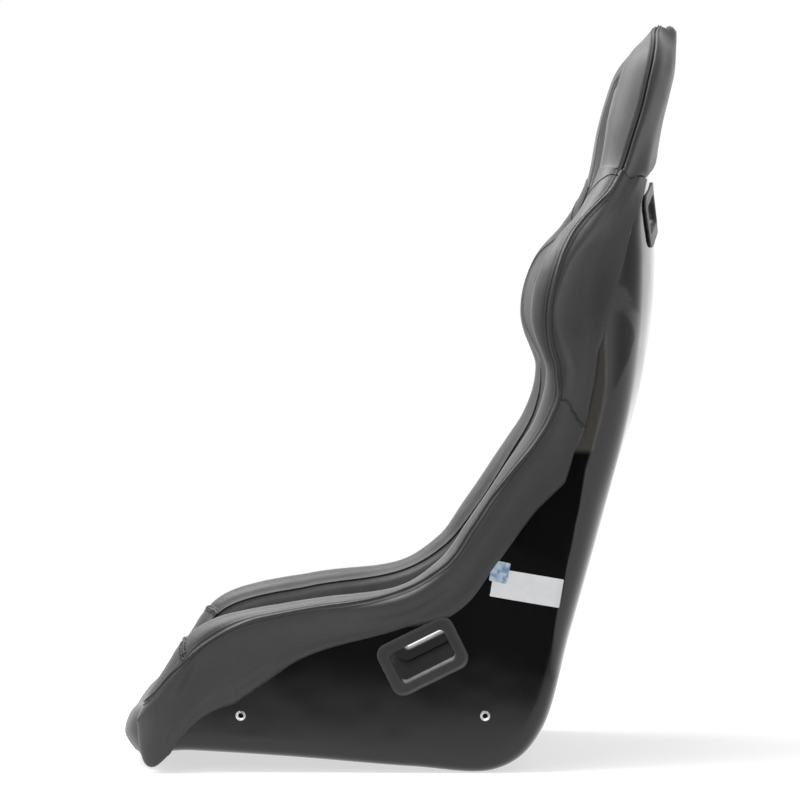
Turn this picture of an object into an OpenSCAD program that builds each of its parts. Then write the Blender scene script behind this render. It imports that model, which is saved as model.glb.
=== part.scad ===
// Fixed-back racing seat: a one-piece moulded tub with wrap-round upholstery.
// The seat faces -Y, +X is the sitter's left and Z is up from the floor. Millimetres.

/* [Shell] */
// Width across the flat flanks that the side mounts bolt to
flank_w = 400; // [380:1:430]
// Width across the shell at the thigh rims
thigh_w = 408; // [400:1:450]
// Width across the shell at the waist rims
waist_w = 398; // [390:1:430]
// Width across the shell at the shoulder wings
wing_w = 482; // [460:1:520]
// Width of the back panel between its corners
back_w = 366; // [350:1:380]
// Width across the shell at the head
head_w = 272; // [250:1:290]
// Length of the seat part, from the hip to the front lip
seat_len = 350; // [335:1:380]
// Height of the back above the hip
back_h = 584; // [560:1:620]
// Wall thickness of the moulding
wall = 4; // [3:0.5:5]
// Corner radius between floor and flank
flank_r = 24; // [18:1:30]
// Corner radius between back panel and wing
back_r = 54; // [44:1:60]
// Height over which the rim flares outwards
flare_h = 50; // [30:1:60]

/* [Upholstery] */
// Clearance of a pad or trim piece from what it sits on
fit = 0.4; // [0.3:0.05:0.6]
// Thickness of the cover at its hem
hem_t = 4; // [3:0.5:6]
// Foam over the rim at the thighs
thigh_foam = 24; // [18:1:30]
// Foam over the rim at the shoulders
wing_foam = 20; // [16:1:28]
// Foam over the rim at the head
head_foam = 33; // [26:1:40]
// Foam on the inside of the flanks
side_foam = 24; // [20:1:26]
// Cover in front of the front lip
nose_foam = 20; // [14:1:24]
// Foam of the apron in front of the lip
apron_foam = 33; // [24:1:40]
// Thickness of the lift-out seat cushion
seat_foam = 44; // [30:1:50]
// Thickness of the lumbar pad
lumbar_foam = 34; // [24:1:40]
// Thickness of the back pad
back_foam = 26; // [18:1:34]
// Thickness of the headrest pad
head_pad = 54; // [40:1:60]
// Depth of the sewn channels in the pads
channel = 7; // [3:1:10]

/* [Belt slots] */
// Length of the lap belt opening
lap_w = 71; // [60:1:80]
// Height of the lap belt opening
lap_h = 39; // [30:1:42]
// Tilt of the lap belt opening, rear end up
lap_tilt = 26.5; // [15:0.5:35]
// Lap belt opening, distance behind the frame origin
lap_y = 29; // [15:1:40]
// Lap belt opening, height above the floor
lap_z = 139; // [132:1:144]
// Length of a shoulder belt opening
sh_w = 72; // [60:1:78]
// Height of a shoulder belt opening
sh_h = 36; // [28:1:40]
// Tilt of the shoulder belt openings, outer end down
sh_tilt = 14; // [0:1:20]
// Length of the crotch strap opening
crotch_w = 76; // [60:1:90]
// Width of the crotch strap opening
crotch_h = 34; // [26:1:42]
// Flange of every belt bezel round its opening
flange = 14; // [10:1:16]
// Thickness of the bezel flanges
flange_t = 2.4; // [2:0.2:3]
// Wall of the bezel tunnels
tunnel_t = 3; // [2:0.5:4]

/* [Side mounts] */
// Distance between the two side mount holes
mount_pitch = 290; // [270:1:300]
// Rear side mount hole, distance behind the frame origin
mount_y = 103; // [95:1:110]
// Height of the side mount holes
mount_z = 68; // [62:1:74]
// Tapped bore of the M8 bushes
bush_bore = 6.8; // [6.6:0.1:7]
// Outer diameter of the bushes
bush_od = 12; // [11:0.5:14]
// Diameter of the collar behind the plate
collar_od = 22; // [18:1:26]
// Thickness of the collar behind the plate
collar_t = 3; // [2:0.5:4]
// Width of the steel plate inside the flank
plate_w = 30; // [26:1:32]
// Thickness of the steel plate
plate_t = 4; // [3:0.5:5]
// Length of the plate beyond each hole
plate_end = 18; // [16:1:22]

/* [Hook and loop] */
// Width of the strips under the seat cushion
strip_w = 25; // [20:1:30]
// Thickness of each strip
strip_t = 1.4; // [1:0.1:2]
// Distance between the centres of the two strips
strip_pitch = 210; // [190:1:230]

/* [Hidden] */
$fn = 48;

hip_y = 60;      // the seat part stretches in front of this
waist_z = 300;   // the back stretches above this
y_mid = 5;       // brings the middle of the seat to the frame origin

// Stations along the seat from the front lip, under and up the back, to the head.
// [edge y, edge z, crown, rim y, rim z, edge half width, rim half width, radius, cover band]
// The edge is the corner of the side view, the rim is the top of the flank there, and the
// band is the part of the flank under the rim that the cover wraps.
flank = flank_w / 2;
thigh = thigh_w / 2;
waist = waist_w / 2;
wing = wing_w / 2;
back = back_w / 2;
head = head_w / 2;
stations = [
    [-292,  64, 18, -280,  96, flank, thigh - 3, flank_r * 0.5, 16],
    [-284,  28, 16, -257, 119, flank, thigh - 1, flank_r * 0.8, 70],
    [-238,  24,  4, -212, 162, flank, thigh, flank_r, 92],
    [-120,  16,  0, -110, 183, flank, thigh, flank_r, 50],
    [  20,   5.4,  0,    6, 197, flank, thigh, flank_r - 4, 26],
    [ 121,   1.9,  0,   69, 236, flank, thigh - 1, flank_r, 33],
    [ 177,  51,  4,  107, 288, flank, thigh - 3, back_r - 18, 38],
    [ 210, 168,  8,  147, 349, (flank + back) / 2 + 5, thigh - 5, back_r - 6, 45],
    [ 245, 300, 14,  187, 413, back + 8, waist + 1, back_r - 2, 58],
    [ 273, 430, 25,  203, 477, back + 3, waist + 9, back_r, 44],
    [ 280, 532, 37,  184, 544, back + 2, wing - 5, back_r, 66],
    [ 283, 606, 39,  199, 604, back, wing, back_r - 5, 68],
    [ 287, 655, 33,  236, 650, back - 20, wing - 41, back_r - 14, 52],
    [ 298, 706, 17,  269, 706, back - 52, head + 18, back_r - 26, 36],
    [ 311, 768, 10,  290, 772, head - 19, head, back_r - 32, 20],
    [ 331, 838,  6,  311, 843, head - 34, head - 17, back_r - 34, 18],
    [ 338, 872,  0,  324, 877, head - 76, head - 64, back_r - 40, 12]];

NF = 3;                      // columns across half of the floor
NC = 3;                      // columns round the corner
NW = 2;                      // columns up the bare wall
NB = 3;                      // columns over the covered band
NH = NF + NC + NW + NB;      // the rim's column
NU = 2 * (len(stations) - 1);
RIM = 2 * NH;

front_u = 3.4;   // seam between nose cover and thigh bolster
waist_u = 17;    // seam between thigh and wing bolsters
neck_u = 26;     // seam between wing bolster and head cover
strip_gap = 0.3; // clearance between the strips, the floor and the cushion
bare = 2 * strip_t + 3 * strip_gap; // height of the cushion over the floor, on its strips

function lerp(a, b, t) = a + (b - a) * t;
function unit(v) = v / norm(v);
function through(p0, p1, p2, p3, t) = 0.5 * (2 * p1 + (p2 - p0) * t
    + (2 * p0 - 5 * p1 + 4 * p2 - p3) * t * t + (3 * p1 - p0 - 3 * p2 + p3) * t * t * t);
function station(u) = let (n = len(stations) - 1, i = min(floor(u / 2), n - 1),
    p1 = stations[i], p2 = stations[i + 1],
    p0 = i > 0 ? stations[i - 1] : 2 * p1 - p2,
    p3 = i < n - 1 ? stations[i + 2] : 2 * p2 - p1) through(p0, p1, p2, p3, u / 2 - i);

// Half a section as [x, distance from the edge towards the rim].
function wall_x(r, s, len) = let (h = min(len, flare_h, 0.9 * r[8]))
    r[5] + (r[6] - r[5]) * pow(max(0, (s - len + h) / h), 1.6);
function half(r) = let (
    len = norm([r[3] - r[0], r[4] - r[1]]),
    rad = min(r[7], 0.45 * len),
    xf = r[5] - rad,
    sf = -r[2] * (1 - pow(xf / r[5], 2)),
    sc = sf + 2 * r[2] * xf / pow(r[5], 2) * rad,
    sw = sc + rad,
    band = min(r[8], 0.62 * (len - sw)))
    [for (v = [0:NH])
        v <= NF ? let (x = xf * v / NF) [x, -r[2] * (1 - pow(x / r[5], 2))]
        : v <= NF + NC ? let (t = (v - NF) / NC, a = [xf, sf], b = [r[5], sc],
            c = [wall_x(r, sw, len), sw])
            a * pow(1 - t, 2) + 2 * b * t * (1 - t) + c * t * t
        : let (s = v <= NF + NC + NW ? lerp(sw, len - band, (v - NF - NC) / NW)
            : len - band * (NH - v) / NB) [wall_x(r, s, len), s]];
function stretch_y(y) = (y < hip_y ? hip_y + (y - hip_y) * seat_len / 350 : y) - y_mid;
function stretch_z(z) = z > waist_z ? waist_z + (z - waist_z) * back_h / 584 : z;
function seated(r, p) = let (d = unit([r[3] - r[0], r[4] - r[1]]))
    [p[0], stretch_y(r[0] + p[1] * d[0]), stretch_z(r[1] + p[1] * d[1])];

// Outer skin, its normals and the inner skin, by row (station) and column (rim to rim).
outer = [for (u = [0:NU]) let (r = station(u), h = half(r))
    [for (j = [0:RIM]) let (p = h[abs(j - NH)]) seated(r, [j < NH ? -p[0] : p[0], p[1]])]];
normals = [for (u = [0:NU]) [for (j = [0:RIM]) unit(cross(
    outer[min(u + 1, NU)][j] - outer[max(u - 1, 0)][j],
    outer[u][min(j + 1, RIM)] - outer[u][max(j - 1, 0)]))]];
inner = outer - wall * normals;

// A point of a grid at a row and column that may lie between its own.
function at(grid, u, j) = let (a = min(floor(u), NU - 1), b = min(floor(j), RIM - 1))
    lerp(lerp(grid[a][b], grid[a][b + 1], j - b),
        lerp(grid[a + 1][b], grid[a + 1][b + 1], j - b), u - a);
function out_at(u, j, off) = at(outer, u, j) + off * at(normals, u, j);
function in_at(u, j, off) = at(inner, u, j) - off * at(normals, u, j);

// Closed solid between two grids of points, p facing along rows x columns and q against it.
// turn(u, j) picks the diagonal, so that a pad and the shell under it have the same facets.
plain = function(u, j) false;
skin_turn = function(u, j) j < NH;
module slab(p, q, ring = false, tip = 0, turn = plain) {
    m = len(p[0]);
    n = len(p);
    pts = concat([for (r = p) each r], [for (r = q) each r]);
    s = n * m;
    function id(u, j) = u * m + j;
    skin = [for (u = [0:n - 2], j = [0:m - 2])
        let (a = id(u, j), b = id(u, j + 1), c = id(u + 1, j + 1), d = id(u + 1, j))
        each turn(u, j)
            ? [[a, b, d], [b, c, d], [s + a, s + d, s + b], [s + b, s + d, s + c]]
            : [[a, b, c], [a, c, d], [s + a, s + c, s + b], [s + a, s + d, s + c]]];
    sides = ring ? [] : [for (u = [0:n - 2])
        let (a = id(u, 0), b = id(u + 1, 0), c = id(u, m - 1), d = id(u + 1, m - 1))
        each [[a, b, s + b], [a, s + b, s + a], [d, c, s + c], [d, s + c, s + d]]];
    first = tip < 0 ? [] : [for (j = [0:m - 2]) let (a = id(0, j), b = id(0, j + 1))
        each [[b, a, s + a], [b, s + a, s + b]]];
    last = tip > 0 ? [] : [for (j = [0:m - 2]) let (a = id(n - 1, j), b = id(n - 1, j + 1))
        each [[a, b, s + b], [a, s + b, s + a]]];
    function real(f) = norm(pts[f[0]] - pts[f[1]]) > 0.001
        && norm(pts[f[1]] - pts[f[2]]) > 0.001 && norm(pts[f[2]] - pts[f[0]]) > 0.001;
    polyhedron(pts, [for (f = concat(skin, sides, first, last)) if (real(f)) f], 4);
}

// Foam over the rim, and on the inside of the flank, by row.
function crest(u) = lookup(u, [[0, nose_foam - 2], [2, nose_foam - 2], [5, thigh_foam - 2],
    [7, thigh_foam], [12, thigh_foam], [16, wing_foam + 2], [20, wing_foam],
    [23, wing_foam], [25, wing_foam + 2], [26, wing_foam + 4], [28, head_foam],
    [30, head_foam - 2], [31, head_foam - 5], [32, head_foam - 10]]);
function side(u) = lookup(u, [[0, 6], [2, 9], [4, side_foam - 6], [6, side_foam],
    [16, side_foam], [20, side_foam + 8], [23, side_foam + 6], [26, side_foam + 8],
    [28, head_foam - 2], [31, head_foam - 8], [32, head_foam - 14]]);
function front(u) = lookup(u, [[0, nose_foam - hem_t], [2, nose_foam - hem_t - 2],
    [3.4, nose_foam - hem_t - 6], [6, 0]]);

// The cover's path over a rim: outside columns, round the rim, then inside columns.
// side_sign is 1 on the left and -1 on the right. off < 0 gives the cover's own surface.
function rim_turn(u, sgn) = let (j = sgn > 0 ? RIM : 0, n = at(normals, u, j),
    along = at(outer, min(u + 0.5, NU), j) - at(outer, max(u - 0.5, 0), j))
    unit(sgn * cross(n, along));
function over_rim(u, sgn, turn, off) = let (j = sgn > 0 ? RIM : 0, n = at(normals, u, j),
    o = at(outer, u, j), i = at(inner, u, j), d = rim_turn(u, sgn))
    lerp(o, i, turn / 180) + off * (cos(turn) * n + sin(turn) * d);
function outside(u, v, sgn) = let (w = max(0, (v - NH + NB) / NB))
    out_at(u, NH + sgn * v, hem_t + front(u) + w * w * (0.42 * crest(u) - hem_t * 0.5));
function inside(u, v, sgn) = let (w = (NH - v) / (NH - NF - NC),
    t = w < 1 ? lerp(1.04 * crest(u), side(u), min(1, 2 * w)) : 2.5,
    p = in_at(u, NH + sgn * v, v > NF + NC ? t : 2.5),
    face = at(inner, u, NH + sgn * (NF + NC))[0] - sgn * side(u))
    v > NF + NC ? p : [sgn * min(sgn * p[0], sgn * face), p[1], p[2]];

// Saddle over one rim: rows us, outside columns vo, inside columns down to the floor.
function cover_row(u, sgn, vo) = concat(
    [for (v = vo) outside(u, v, sgn)],
    [for (a = [45, 90, 135]) over_rim(u, sgn, a, crest(u) * (0.74 + 0.3 * a / 135))],
    [for (v = [NH:-1:NF]) inside(u, v, sgn)]);
function cavity_row(u, sgn, vo) = concat(
    [for (v = vo) out_at(u, NH + sgn * v, fit)],
    [for (a = [45, 90, 135]) over_rim(u, sgn, a, fit)],
    [for (v = [NH:-1:NF]) in_at(u, NH + sgn * v, fit)]);
module saddle(us, sgn, vo) {
    cover = [for (u = us) cover_row(u, sgn, vo)];
    cavity = [for (u = us) cavity_row(u, sgn, vo)];
    turn = function(u, j) j > len(vo) + 2;
    if (sgn > 0) slab(cover, cavity, turn = turn);
    else slab(cavity, cover, turn = turn);
}
hem_cols = [each [NH - NB:NH]];

// Pad on the inside skin: rows us, base height, top thickness by row. It fills the width
// between the bolsters, less a clearance.
function pad_cols(u) = let (xf = at(inner, u, NH + NF)[0],
    face = at(inner, u, NH + NF + NC)[0] - side(u)) NF * min(0.96, (face - 6) / xf);
module pad(us, base, thick) {
    n = 6;
    bottom = [for (k = [0:len(us) - 1]) let (aw = pad_cols(us[k])) [for (i = [-n:n])
        in_at(us[k], NH + aw * 0.96 * i / n, base)]];
    top = [for (k = [0:len(us) - 1]) let (aw = pad_cols(us[k])) [for (i = [-n:n])
        let (e = abs(i) / n)
        in_at(us[k], NH + aw * i / n, base + thick[k] * (1 - 0.42 * pow(e, 5)))]];
    slab(bottom, top, turn = function(u, j) j < n);
}
// Thickness along a pad: rounded ends and sewn channels where a row is marked.
function swell(k, n) = let (e = min(k, n - 1 - k)) e == 0 ? 0.52 : e == 1 ? 0.82 : e == 2 ? 0.96 : 1;

// Plain shapes.
module rounded(w, h, r) {
    square([w - 2 * r, h], center = true);
    square([w, h - 2 * r], center = true);
    for (x = [-1, 1], y = [-1, 1]) translate([x * (w / 2 - r), y * (h / 2 - r)]) circle(r);
}
module block(w, h, r, z0, z1) {
    translate([0, 0, z0]) linear_extrude(z1 - z0) rounded(w, h, r);
}
module mirror_x(flip) {
    if (flip) mirror([1, 0, 0]) children();
    else children();
}

// Frames of the belt openings: local Z leaves the shell, local X runs along the slot.
module lap_frame(flip = false) {
    mirror_x(flip) translate([flank, lap_y, lap_z]) rotate([0, 90, 0]) rotate([0, 0, 90 + lap_tilt])
        children();
}
sh_u = 24.3;
sh_v = 0.55 * NF;
module skin_frame(u, j, turn) {
    p = at(outer, u, j);
    z = unit(at(normals, u, j));
    x = unit(cross([0, -z[2], z[1]], z));
    y = cross(z, x);
    multmatrix([[x[0], y[0], z[0], p[0]], [x[1], y[1], z[1], p[1]],
        [x[2], y[2], z[2], p[2]], [0, 0, 0, 1]]) rotate([0, 0, turn]) children();
}
module shoulder_frame(flip = false) {
    mirror_x(flip) skin_frame(sh_u, NH + sh_v, sh_tilt) children();
}
crotch_u = 6.2;
module crotch_frame() {
    skin_frame(crotch_u, NH, 0) children();
}
module slot_cut(w, h, depth = wall + 20) {
    block(w + 2 * tunnel_t + 2 * fit, h + 2 * tunnel_t + 2 * fit, 6 + tunnel_t, -depth, 8);
}

// A layer of the skin between two offsets, over whole rows and columns.
module layer_out(u0, u1, j0, j1, a, b) {
    slab([for (u = [u0:u1]) [for (j = [j0:j1]) out_at(u, j, b)]],
        [for (u = [u0:u1]) [for (j = [j0:j1]) out_at(u, j, a)]],
        turn = function(u, j) j + j0 < NH);
}
module layer_in(u0, u1, j0, j1, a, b) {
    slab([for (u = [u0:u1]) [for (j = [j0:j1]) in_at(u, j, a)]],
        [for (u = [u0:u1]) [for (j = [j0:j1]) in_at(u, j, b)]],
        turn = function(u, j) j + j0 < NH);
}
module tunnel(w, h, z0, z1) {
    difference() {
        block(w + 2 * tunnel_t, h + 2 * tunnel_t, 6 + tunnel_t, z0, z1);
        block(w, h, 6, z0 - 1, z1 + 1);
    }
}

// The parts.
module shell() color([0.07, 0.07, 0.08]) difference() {
    slab(outer, inner, turn = skin_turn);
    for (f = [false, true]) {
        lap_frame(f) slot_cut(lap_w, lap_h);
        shoulder_frame(f) slot_cut(sh_w, sh_h);
        mirror_x(f) at_mounts() cylinder(d = bush_od + 2 * fit, h = 60, center = true);
    }
    crotch_frame() slot_cut(crotch_w, crotch_h);
}
module at_mounts() {
    for (y = [mount_y - mount_pitch, mount_y]) translate([flank, y, mount_z])
        rotate([0, 90, 0]) children();
}

inside_x = flank - wall;                 // inner face of the flat flank
plate_x = inside_x - 0.2;                // the plate's outer face
collar_x = plate_x - plate_t - 0.1;      // the collar's outer face
module mount_plate(flip) {
    mirror_x(flip) difference() {
        translate([plate_x - plate_t, mount_y - mount_pitch / 2, mount_z]) rotate([0, 90, 0])
            linear_extrude(plate_t) rounded(plate_w, mount_pitch + 2 * plate_end, 6);
        at_mounts() cylinder(d = bush_od + 0.4, h = 60, center = true);
    }
}
module mount_plate_left() color("dimgray") mount_plate(false);
module mount_plate_right() color("dimgray") mount_plate(true);
module mount_bushes() color("silver") for (f = [false, true]) mirror_x(f) at_mounts() {
    translate([0, 0, collar_x - collar_t - flank]) difference() {
        union() {
            cylinder(d = collar_od, h = collar_t);
            cylinder(d = bush_od, h = flank + 0.8 - collar_x + collar_t);
        }
        translate([0, 0, -1]) cylinder(d = bush_bore, h = 60);
    }
}

side_x = inside_x - side_foam;           // inner face of the thigh foam
lap_split = (flank + side_x) / 2;        // where the two lap bezels meet
module lap_bezel_outer(flip) lap_frame(flip) {
    difference() {
        block(lap_w + 2 * flange, lap_h + 2 * flange, 6 + flange * 0.6, 0.2, 0.2 + flange_t);
        block(lap_w, lap_h, 6, -1, 9);
    }
    difference() {
        block(lap_w + 2 * flange, lap_h + 2 * flange, 6 + flange * 0.6,
            0.2 + flange_t * 0.8, 1 + flange_t);
        block(lap_w + 2 * flange - 4, lap_h + 2 * flange - 4, 4 + flange * 0.6, -1, 9);
    }
    tunnel(lap_w, lap_h, lap_split + 0.15 - flank, 0.2 + flange_t);
}
module lap_bezel_inner(flip) lap_frame(flip) {
    difference() {
        block(lap_w + 2 * flange, lap_h + 2 * flange, 6 + flange * 0.6,
            side_x - flank - fit - flange_t, side_x - flank - fit);
        block(lap_w, lap_h, 6, -60, 9);
    }
    tunnel(lap_w, lap_h, side_x - flank - fit - flange_t, lap_split - 0.15 - flank);
}
module lap_bezel_outer_left() color([0.16, 0.16, 0.17]) lap_bezel_outer(false);
module lap_bezel_outer_right() color([0.16, 0.16, 0.17]) lap_bezel_outer(true);
module lap_bezel_inner_left() color([0.16, 0.16, 0.17]) lap_bezel_inner(false);
module lap_bezel_inner_right() color([0.16, 0.16, 0.17]) lap_bezel_inner(true);

// Shoulder bezels follow the curved back panel, so their flanges are cut from its skin.
module shoulder_bezel_rear(flip) {
    mirror_x(flip) intersection() {
        layer_out(22, 27, NH, NH + NF + 1, fit * 0.5, fit * 0.5 + flange_t);
        shoulder_frame() bezel_block(sh_w, sh_h);
    }
    shoulder_frame(flip) tunnel(sh_w, sh_h, -wall / 2 + 0.15, fit * 0.5 + flange_t);
}
module shoulder_bezel_front(flip) {
    mirror_x(flip) intersection() {
        layer_in(22, 27, NH, NH + NF + 1, fit * 0.5, fit * 0.5 + flange_t);
        shoulder_frame() bezel_block(sh_w, sh_h);
    }
    shoulder_frame(flip) tunnel(sh_w, sh_h, -wall - fit * 0.5 - flange_t, -wall / 2 - 0.15);
}
module bezel_block(w, h) difference() {
    block(w + 2 * flange, h + 2 * flange, 6 + flange * 0.6, -30, 30);
    block(w, h, 6, -31, 31);
}
module shoulder_bezel_rear_left() color([0.16, 0.16, 0.17]) shoulder_bezel_rear(false);
module shoulder_bezel_rear_right() color([0.16, 0.16, 0.17]) shoulder_bezel_rear(true);
module shoulder_bezel_front_left() color([0.16, 0.16, 0.17]) shoulder_bezel_front(false);
module shoulder_bezel_front_right() color([0.16, 0.16, 0.17]) shoulder_bezel_front(true);

module crotch_bezel_bottom() color([0.16, 0.16, 0.17]) {
    intersection() {
        layer_out(4, 8, NH - 2, NH + 2, fit * 0.5, fit * 0.5 + flange_t);
        crotch_frame() bezel_block(crotch_w, crotch_h);
    }
    crotch_frame() tunnel(crotch_w, crotch_h, -wall / 2 + 0.15, fit * 0.5 + flange_t);
}
module crotch_bezel_top() color([0.16, 0.16, 0.17]) {
    intersection() {
        layer_in(4, 8, NH - 2, NH + 2, fit * 0.5, fit * 0.5 + flange_t);
        crotch_frame() bezel_block(crotch_w, crotch_h);
    }
    crotch_frame() tunnel(crotch_w, crotch_h, -wall - fit * 0.5 - flange_t, -wall / 2 - 0.15);
}

// Thigh bolsters, with a pocket for the mount plate and a window for the lap belt.
thigh_rows = [front_u + 0.04, each [4:waist_u - 1], waist_u - 0.02];
module thigh_bolster(sgn) difference() {
    saddle(thigh_rows, sgn, hem_cols);
    mirror_x(sgn < 0) translate([collar_x - collar_t - 1, mount_y - mount_pitch / 2, mount_z])
        rotate([0, 90, 0]) linear_extrude(20)
            rounded(plate_w + 1.5, mount_pitch + 2 * plate_end + 1.5, 6.5);
    lap_frame(sgn < 0) slot_cut(lap_w, lap_h, 60);
}
module thigh_bolster_left() color([0.3, 0.3, 0.31]) thigh_bolster(1);
module thigh_bolster_right() color([0.3, 0.3, 0.31]) thigh_bolster(-1);

// Nose covers close the front end of each flank. Their first two rows pull together.
tip_dir = unit([0, -0.8, 0.6]);
module nose_cover(sgn) {
    vo = [NF + 0.6, each [NF + 1:NH]];
    vi = [each [NH:-1:NF + 1], NF + 0.6];
    function base(u) = concat([for (v = vo) at(outer, u, NH + sgn * v)],
        [for (a = [45, 90, 135]) over_rim(u, sgn, a, 0)],
        [for (v = vi) at(inner, u, NH + sgn * v)]);
    function cover(u) = concat([for (v = vo) outside(u, v, sgn)
            + 7 * max(0, 1 - (v - NF) / NC) * min(1, u / 2) * at(normals, u, NH + sgn * v)],
        [for (a = [45, 90, 135]) over_rim(u, sgn, a, crest(u) * (0.74 + 0.3 * a / 135))],
        [for (v = vi) v > NF + NC ? inside(u, v, sgn) : in_at(u, NH + sgn * v, 2)]);
    function cavity(u) = concat([for (v = vo) out_at(u, NH + sgn * v, fit)],
        [for (a = [45, 90, 135]) over_rim(u, sgn, a, fit)],
        [for (v = vi) in_at(u, NH + sgn * v, fit)]);
    rows = [0, 1, 2, 3, front_u - 0.04];
    b = base(0);
    n = len(b);
    mid = [for (i = [0:n - 1]) (b[i] + b[n - 1 - i]) / 2];
    c0 = cover(0);
    q0 = cavity(0);
    up = nose_foam * 0.85;
    p = concat([[for (i = [0:n - 1]) mid[i] + up * tip_dir],
        [for (i = [0:n - 1]) lerp(mid[i], c0[i], 0.7) + 0.7 * up * tip_dir]],
        [for (u = rows) cover(u)]);
    q = concat([[for (i = [0:n - 1]) mid[i] + 3 * fit * tip_dir],
        [for (i = [0:n - 1]) lerp(mid[i], q0[i], 0.9) + 2 * fit * tip_dir]],
        [for (u = rows) cavity(u)]);
    turn = function(u, j) j > len(vo) + 2;
    if (sgn > 0) slab(p, q, tip = -1, turn = turn);
    else slab(q, p, tip = -1, turn = turn);
}
module nose_cover_left() color([0.3, 0.3, 0.31]) nose_cover(1);
module nose_cover_right() color([0.3, 0.3, 0.31]) nose_cover(-1);

wing_rows = [waist_u + 0.02, each [waist_u + 1:neck_u - 1], neck_u - 0.03];
module wing_bolster_left() color([0.3, 0.3, 0.31]) saddle(wing_rows, 1, hem_cols);
module wing_bolster_right() color([0.3, 0.3, 0.31]) saddle(wing_rows, -1, hem_cols);

// The head cover is a sock: a closed ring round the shell that pulls together on top.
back_t = hem_t + 1.5;
function brow(u) = lookup(u, [[30, 2.5], [31, head_foam * 0.3], [32, head_foam * 0.55]]);
function ring(u, on) = concat(
    [for (j = [0:RIM]) let (w = max(0, (abs(j - NH) - NH + NB) / NB))
        out_at(u, j, on ? back_t + w * w * 0.3 * crest(u) : fit)],
    [for (a = [45, 90, 135]) over_rim(u, 1, a, on ? crest(u) * (0.74 + 0.3 * a / 135) : fit)],
    [for (j = [RIM:-1:0]) let (v = abs(j - NH))
        on ? (v > NF ? inside(u, v, j > NH ? 1 : -1) : in_at(u, j, brow(u))) : in_at(u, j, fit)],
    [for (a = [135, 90, 45]) over_rim(u, -1, a, on ? crest(u) * (0.74 + 0.3 * a / 135) : fit)],
    [out_at(u, 0, on ? back_t + 0.3 * crest(u) : fit)]);
// Column i of the ring faces column pair(i) across the shell's wall.
ring_n = 2 * RIM + 8;
function pair(i) = i == ring_n ? pair(0) : i <= 2 * RIM + 4 ? 2 * RIM + 4 - i
    : 4 * RIM + 12 - i;
module head_cover() color([0.3, 0.3, 0.31]) {
    rows = [neck_u + 0.03, each [neck_u + 1:NU]];
    c = ring(NU, true);
    q = ring(NU, false);
    n = ring_n;
    up = unit([0, 0.15, 1]);
    mid = [for (i = [0:n]) (q[i] + q[pair(i)]) / 2];
    slab(concat([for (u = rows) ring(u, true)],
        [[for (i = [0:n]) lerp(mid[i], c[i], 0.92) + 5 * up], [for (i = [0:n]) mid[i] + 9 * up]]),
        concat([for (u = rows) ring(u, false)],
        [[for (i = [0:n]) lerp(mid[i], q[i], 0.9) + 2 * fit * up],
        [for (i = [0:n]) mid[i] + 3 * fit * up]]), ring = true, tip = 1,
        turn = function(u, j) j <= RIM ? j < NH : j < 2 * RIM + 4 - NH);
}

// Pads down the middle.
module headrest_pad() color([0.26, 0.26, 0.27]) {
    us = [27, 27.15, 27.5, 28, 28.6, 29, 29.5, 29.8, 29.95];
    pad(us, 3.3, [for (k = [0:len(us) - 1]) head_pad * swell(k, len(us))]);
}
module back_pad() color([0.26, 0.26, 0.27]) {
    us = [17.05, 17.2, 17.5, 18, 18.8, 19, 19.2, 20, 20.8, 21, 21.2, 22, 22.4, 22.6];
    pad(us, 2 * fit, [for (k = [0:len(us) - 1]) back_foam * swell(k, len(us))
        - (us[k] == 19 || us[k] == 21 ? channel : 0)]);
}
module lumbar_pad() color([0.26, 0.26, 0.27]) {
    us = [11.2, 11.35, 11.6, 12, 13.8, 14, 14.2, 15, 16, 16.5, 16.8, 16.95];
    pad(us, 2 * fit, [for (k = [0:len(us) - 1]) lumbar_foam * swell(k, len(us))
        - (us[k] == 14 ? channel : 0)]);
}
module seat_cushion() color([0.26, 0.26, 0.27]) difference() {
    us = [2.8, 2.95, 3.2, 3.5, 4, 4.8, 5, 5.2, 6, 7, 7.3, 7.5, 7.7, 8, 9, 9.6, 10, 10.3];
    pad(us, bare,
        [for (k = [0:len(us) - 1]) seat_foam * swell(k, len(us))
            - (us[k] == 5 || us[k] == 7.5 ? channel : 0)]);
    crotch_frame() block(crotch_w + 2, crotch_h + 2, 7, -90, 20);
}

// Apron over the front lip: outside columns up the lip, over its edge, then inside.
function apron_row(j, on) = let (d = unit(outer[0][j] - outer[1][j]), x = outer[1][NH + NF][0],
    t = lerp(apron_foam, nose_foam, pow(abs(j - NH) / NF, 4)))
    [for (p = concat([for (u = [2, 1, 0]) out_at(u, j, on ? (u == 2 ? 0.3 : 1) * t : fit)],
        [for (a = [45, 90, 135]) lerp(outer[0][j], inner[0][j], a / 180)
            + (on ? nose_foam * 0.95 + (a == 45 ? (t - nose_foam) * 0.6 : 0) : fit)
            * (cos(a) * normals[0][j] + sin(a) * d)],
        [for (u = [0, 1]) in_at(u, j, on ? 12 : fit)])) [max(-x, min(x, p[0])), p[1], p[2]]];
module front_apron() color([0.26, 0.26, 0.27]) {
    slab([for (j = [NH - NF:NH + NF]) apron_row(j, true)],
        [for (j = [NH - NF:NH + NF]) apron_row(j, false)],
        turn = function(u, j) (u >= NF) == (j < 3));
}

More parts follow.
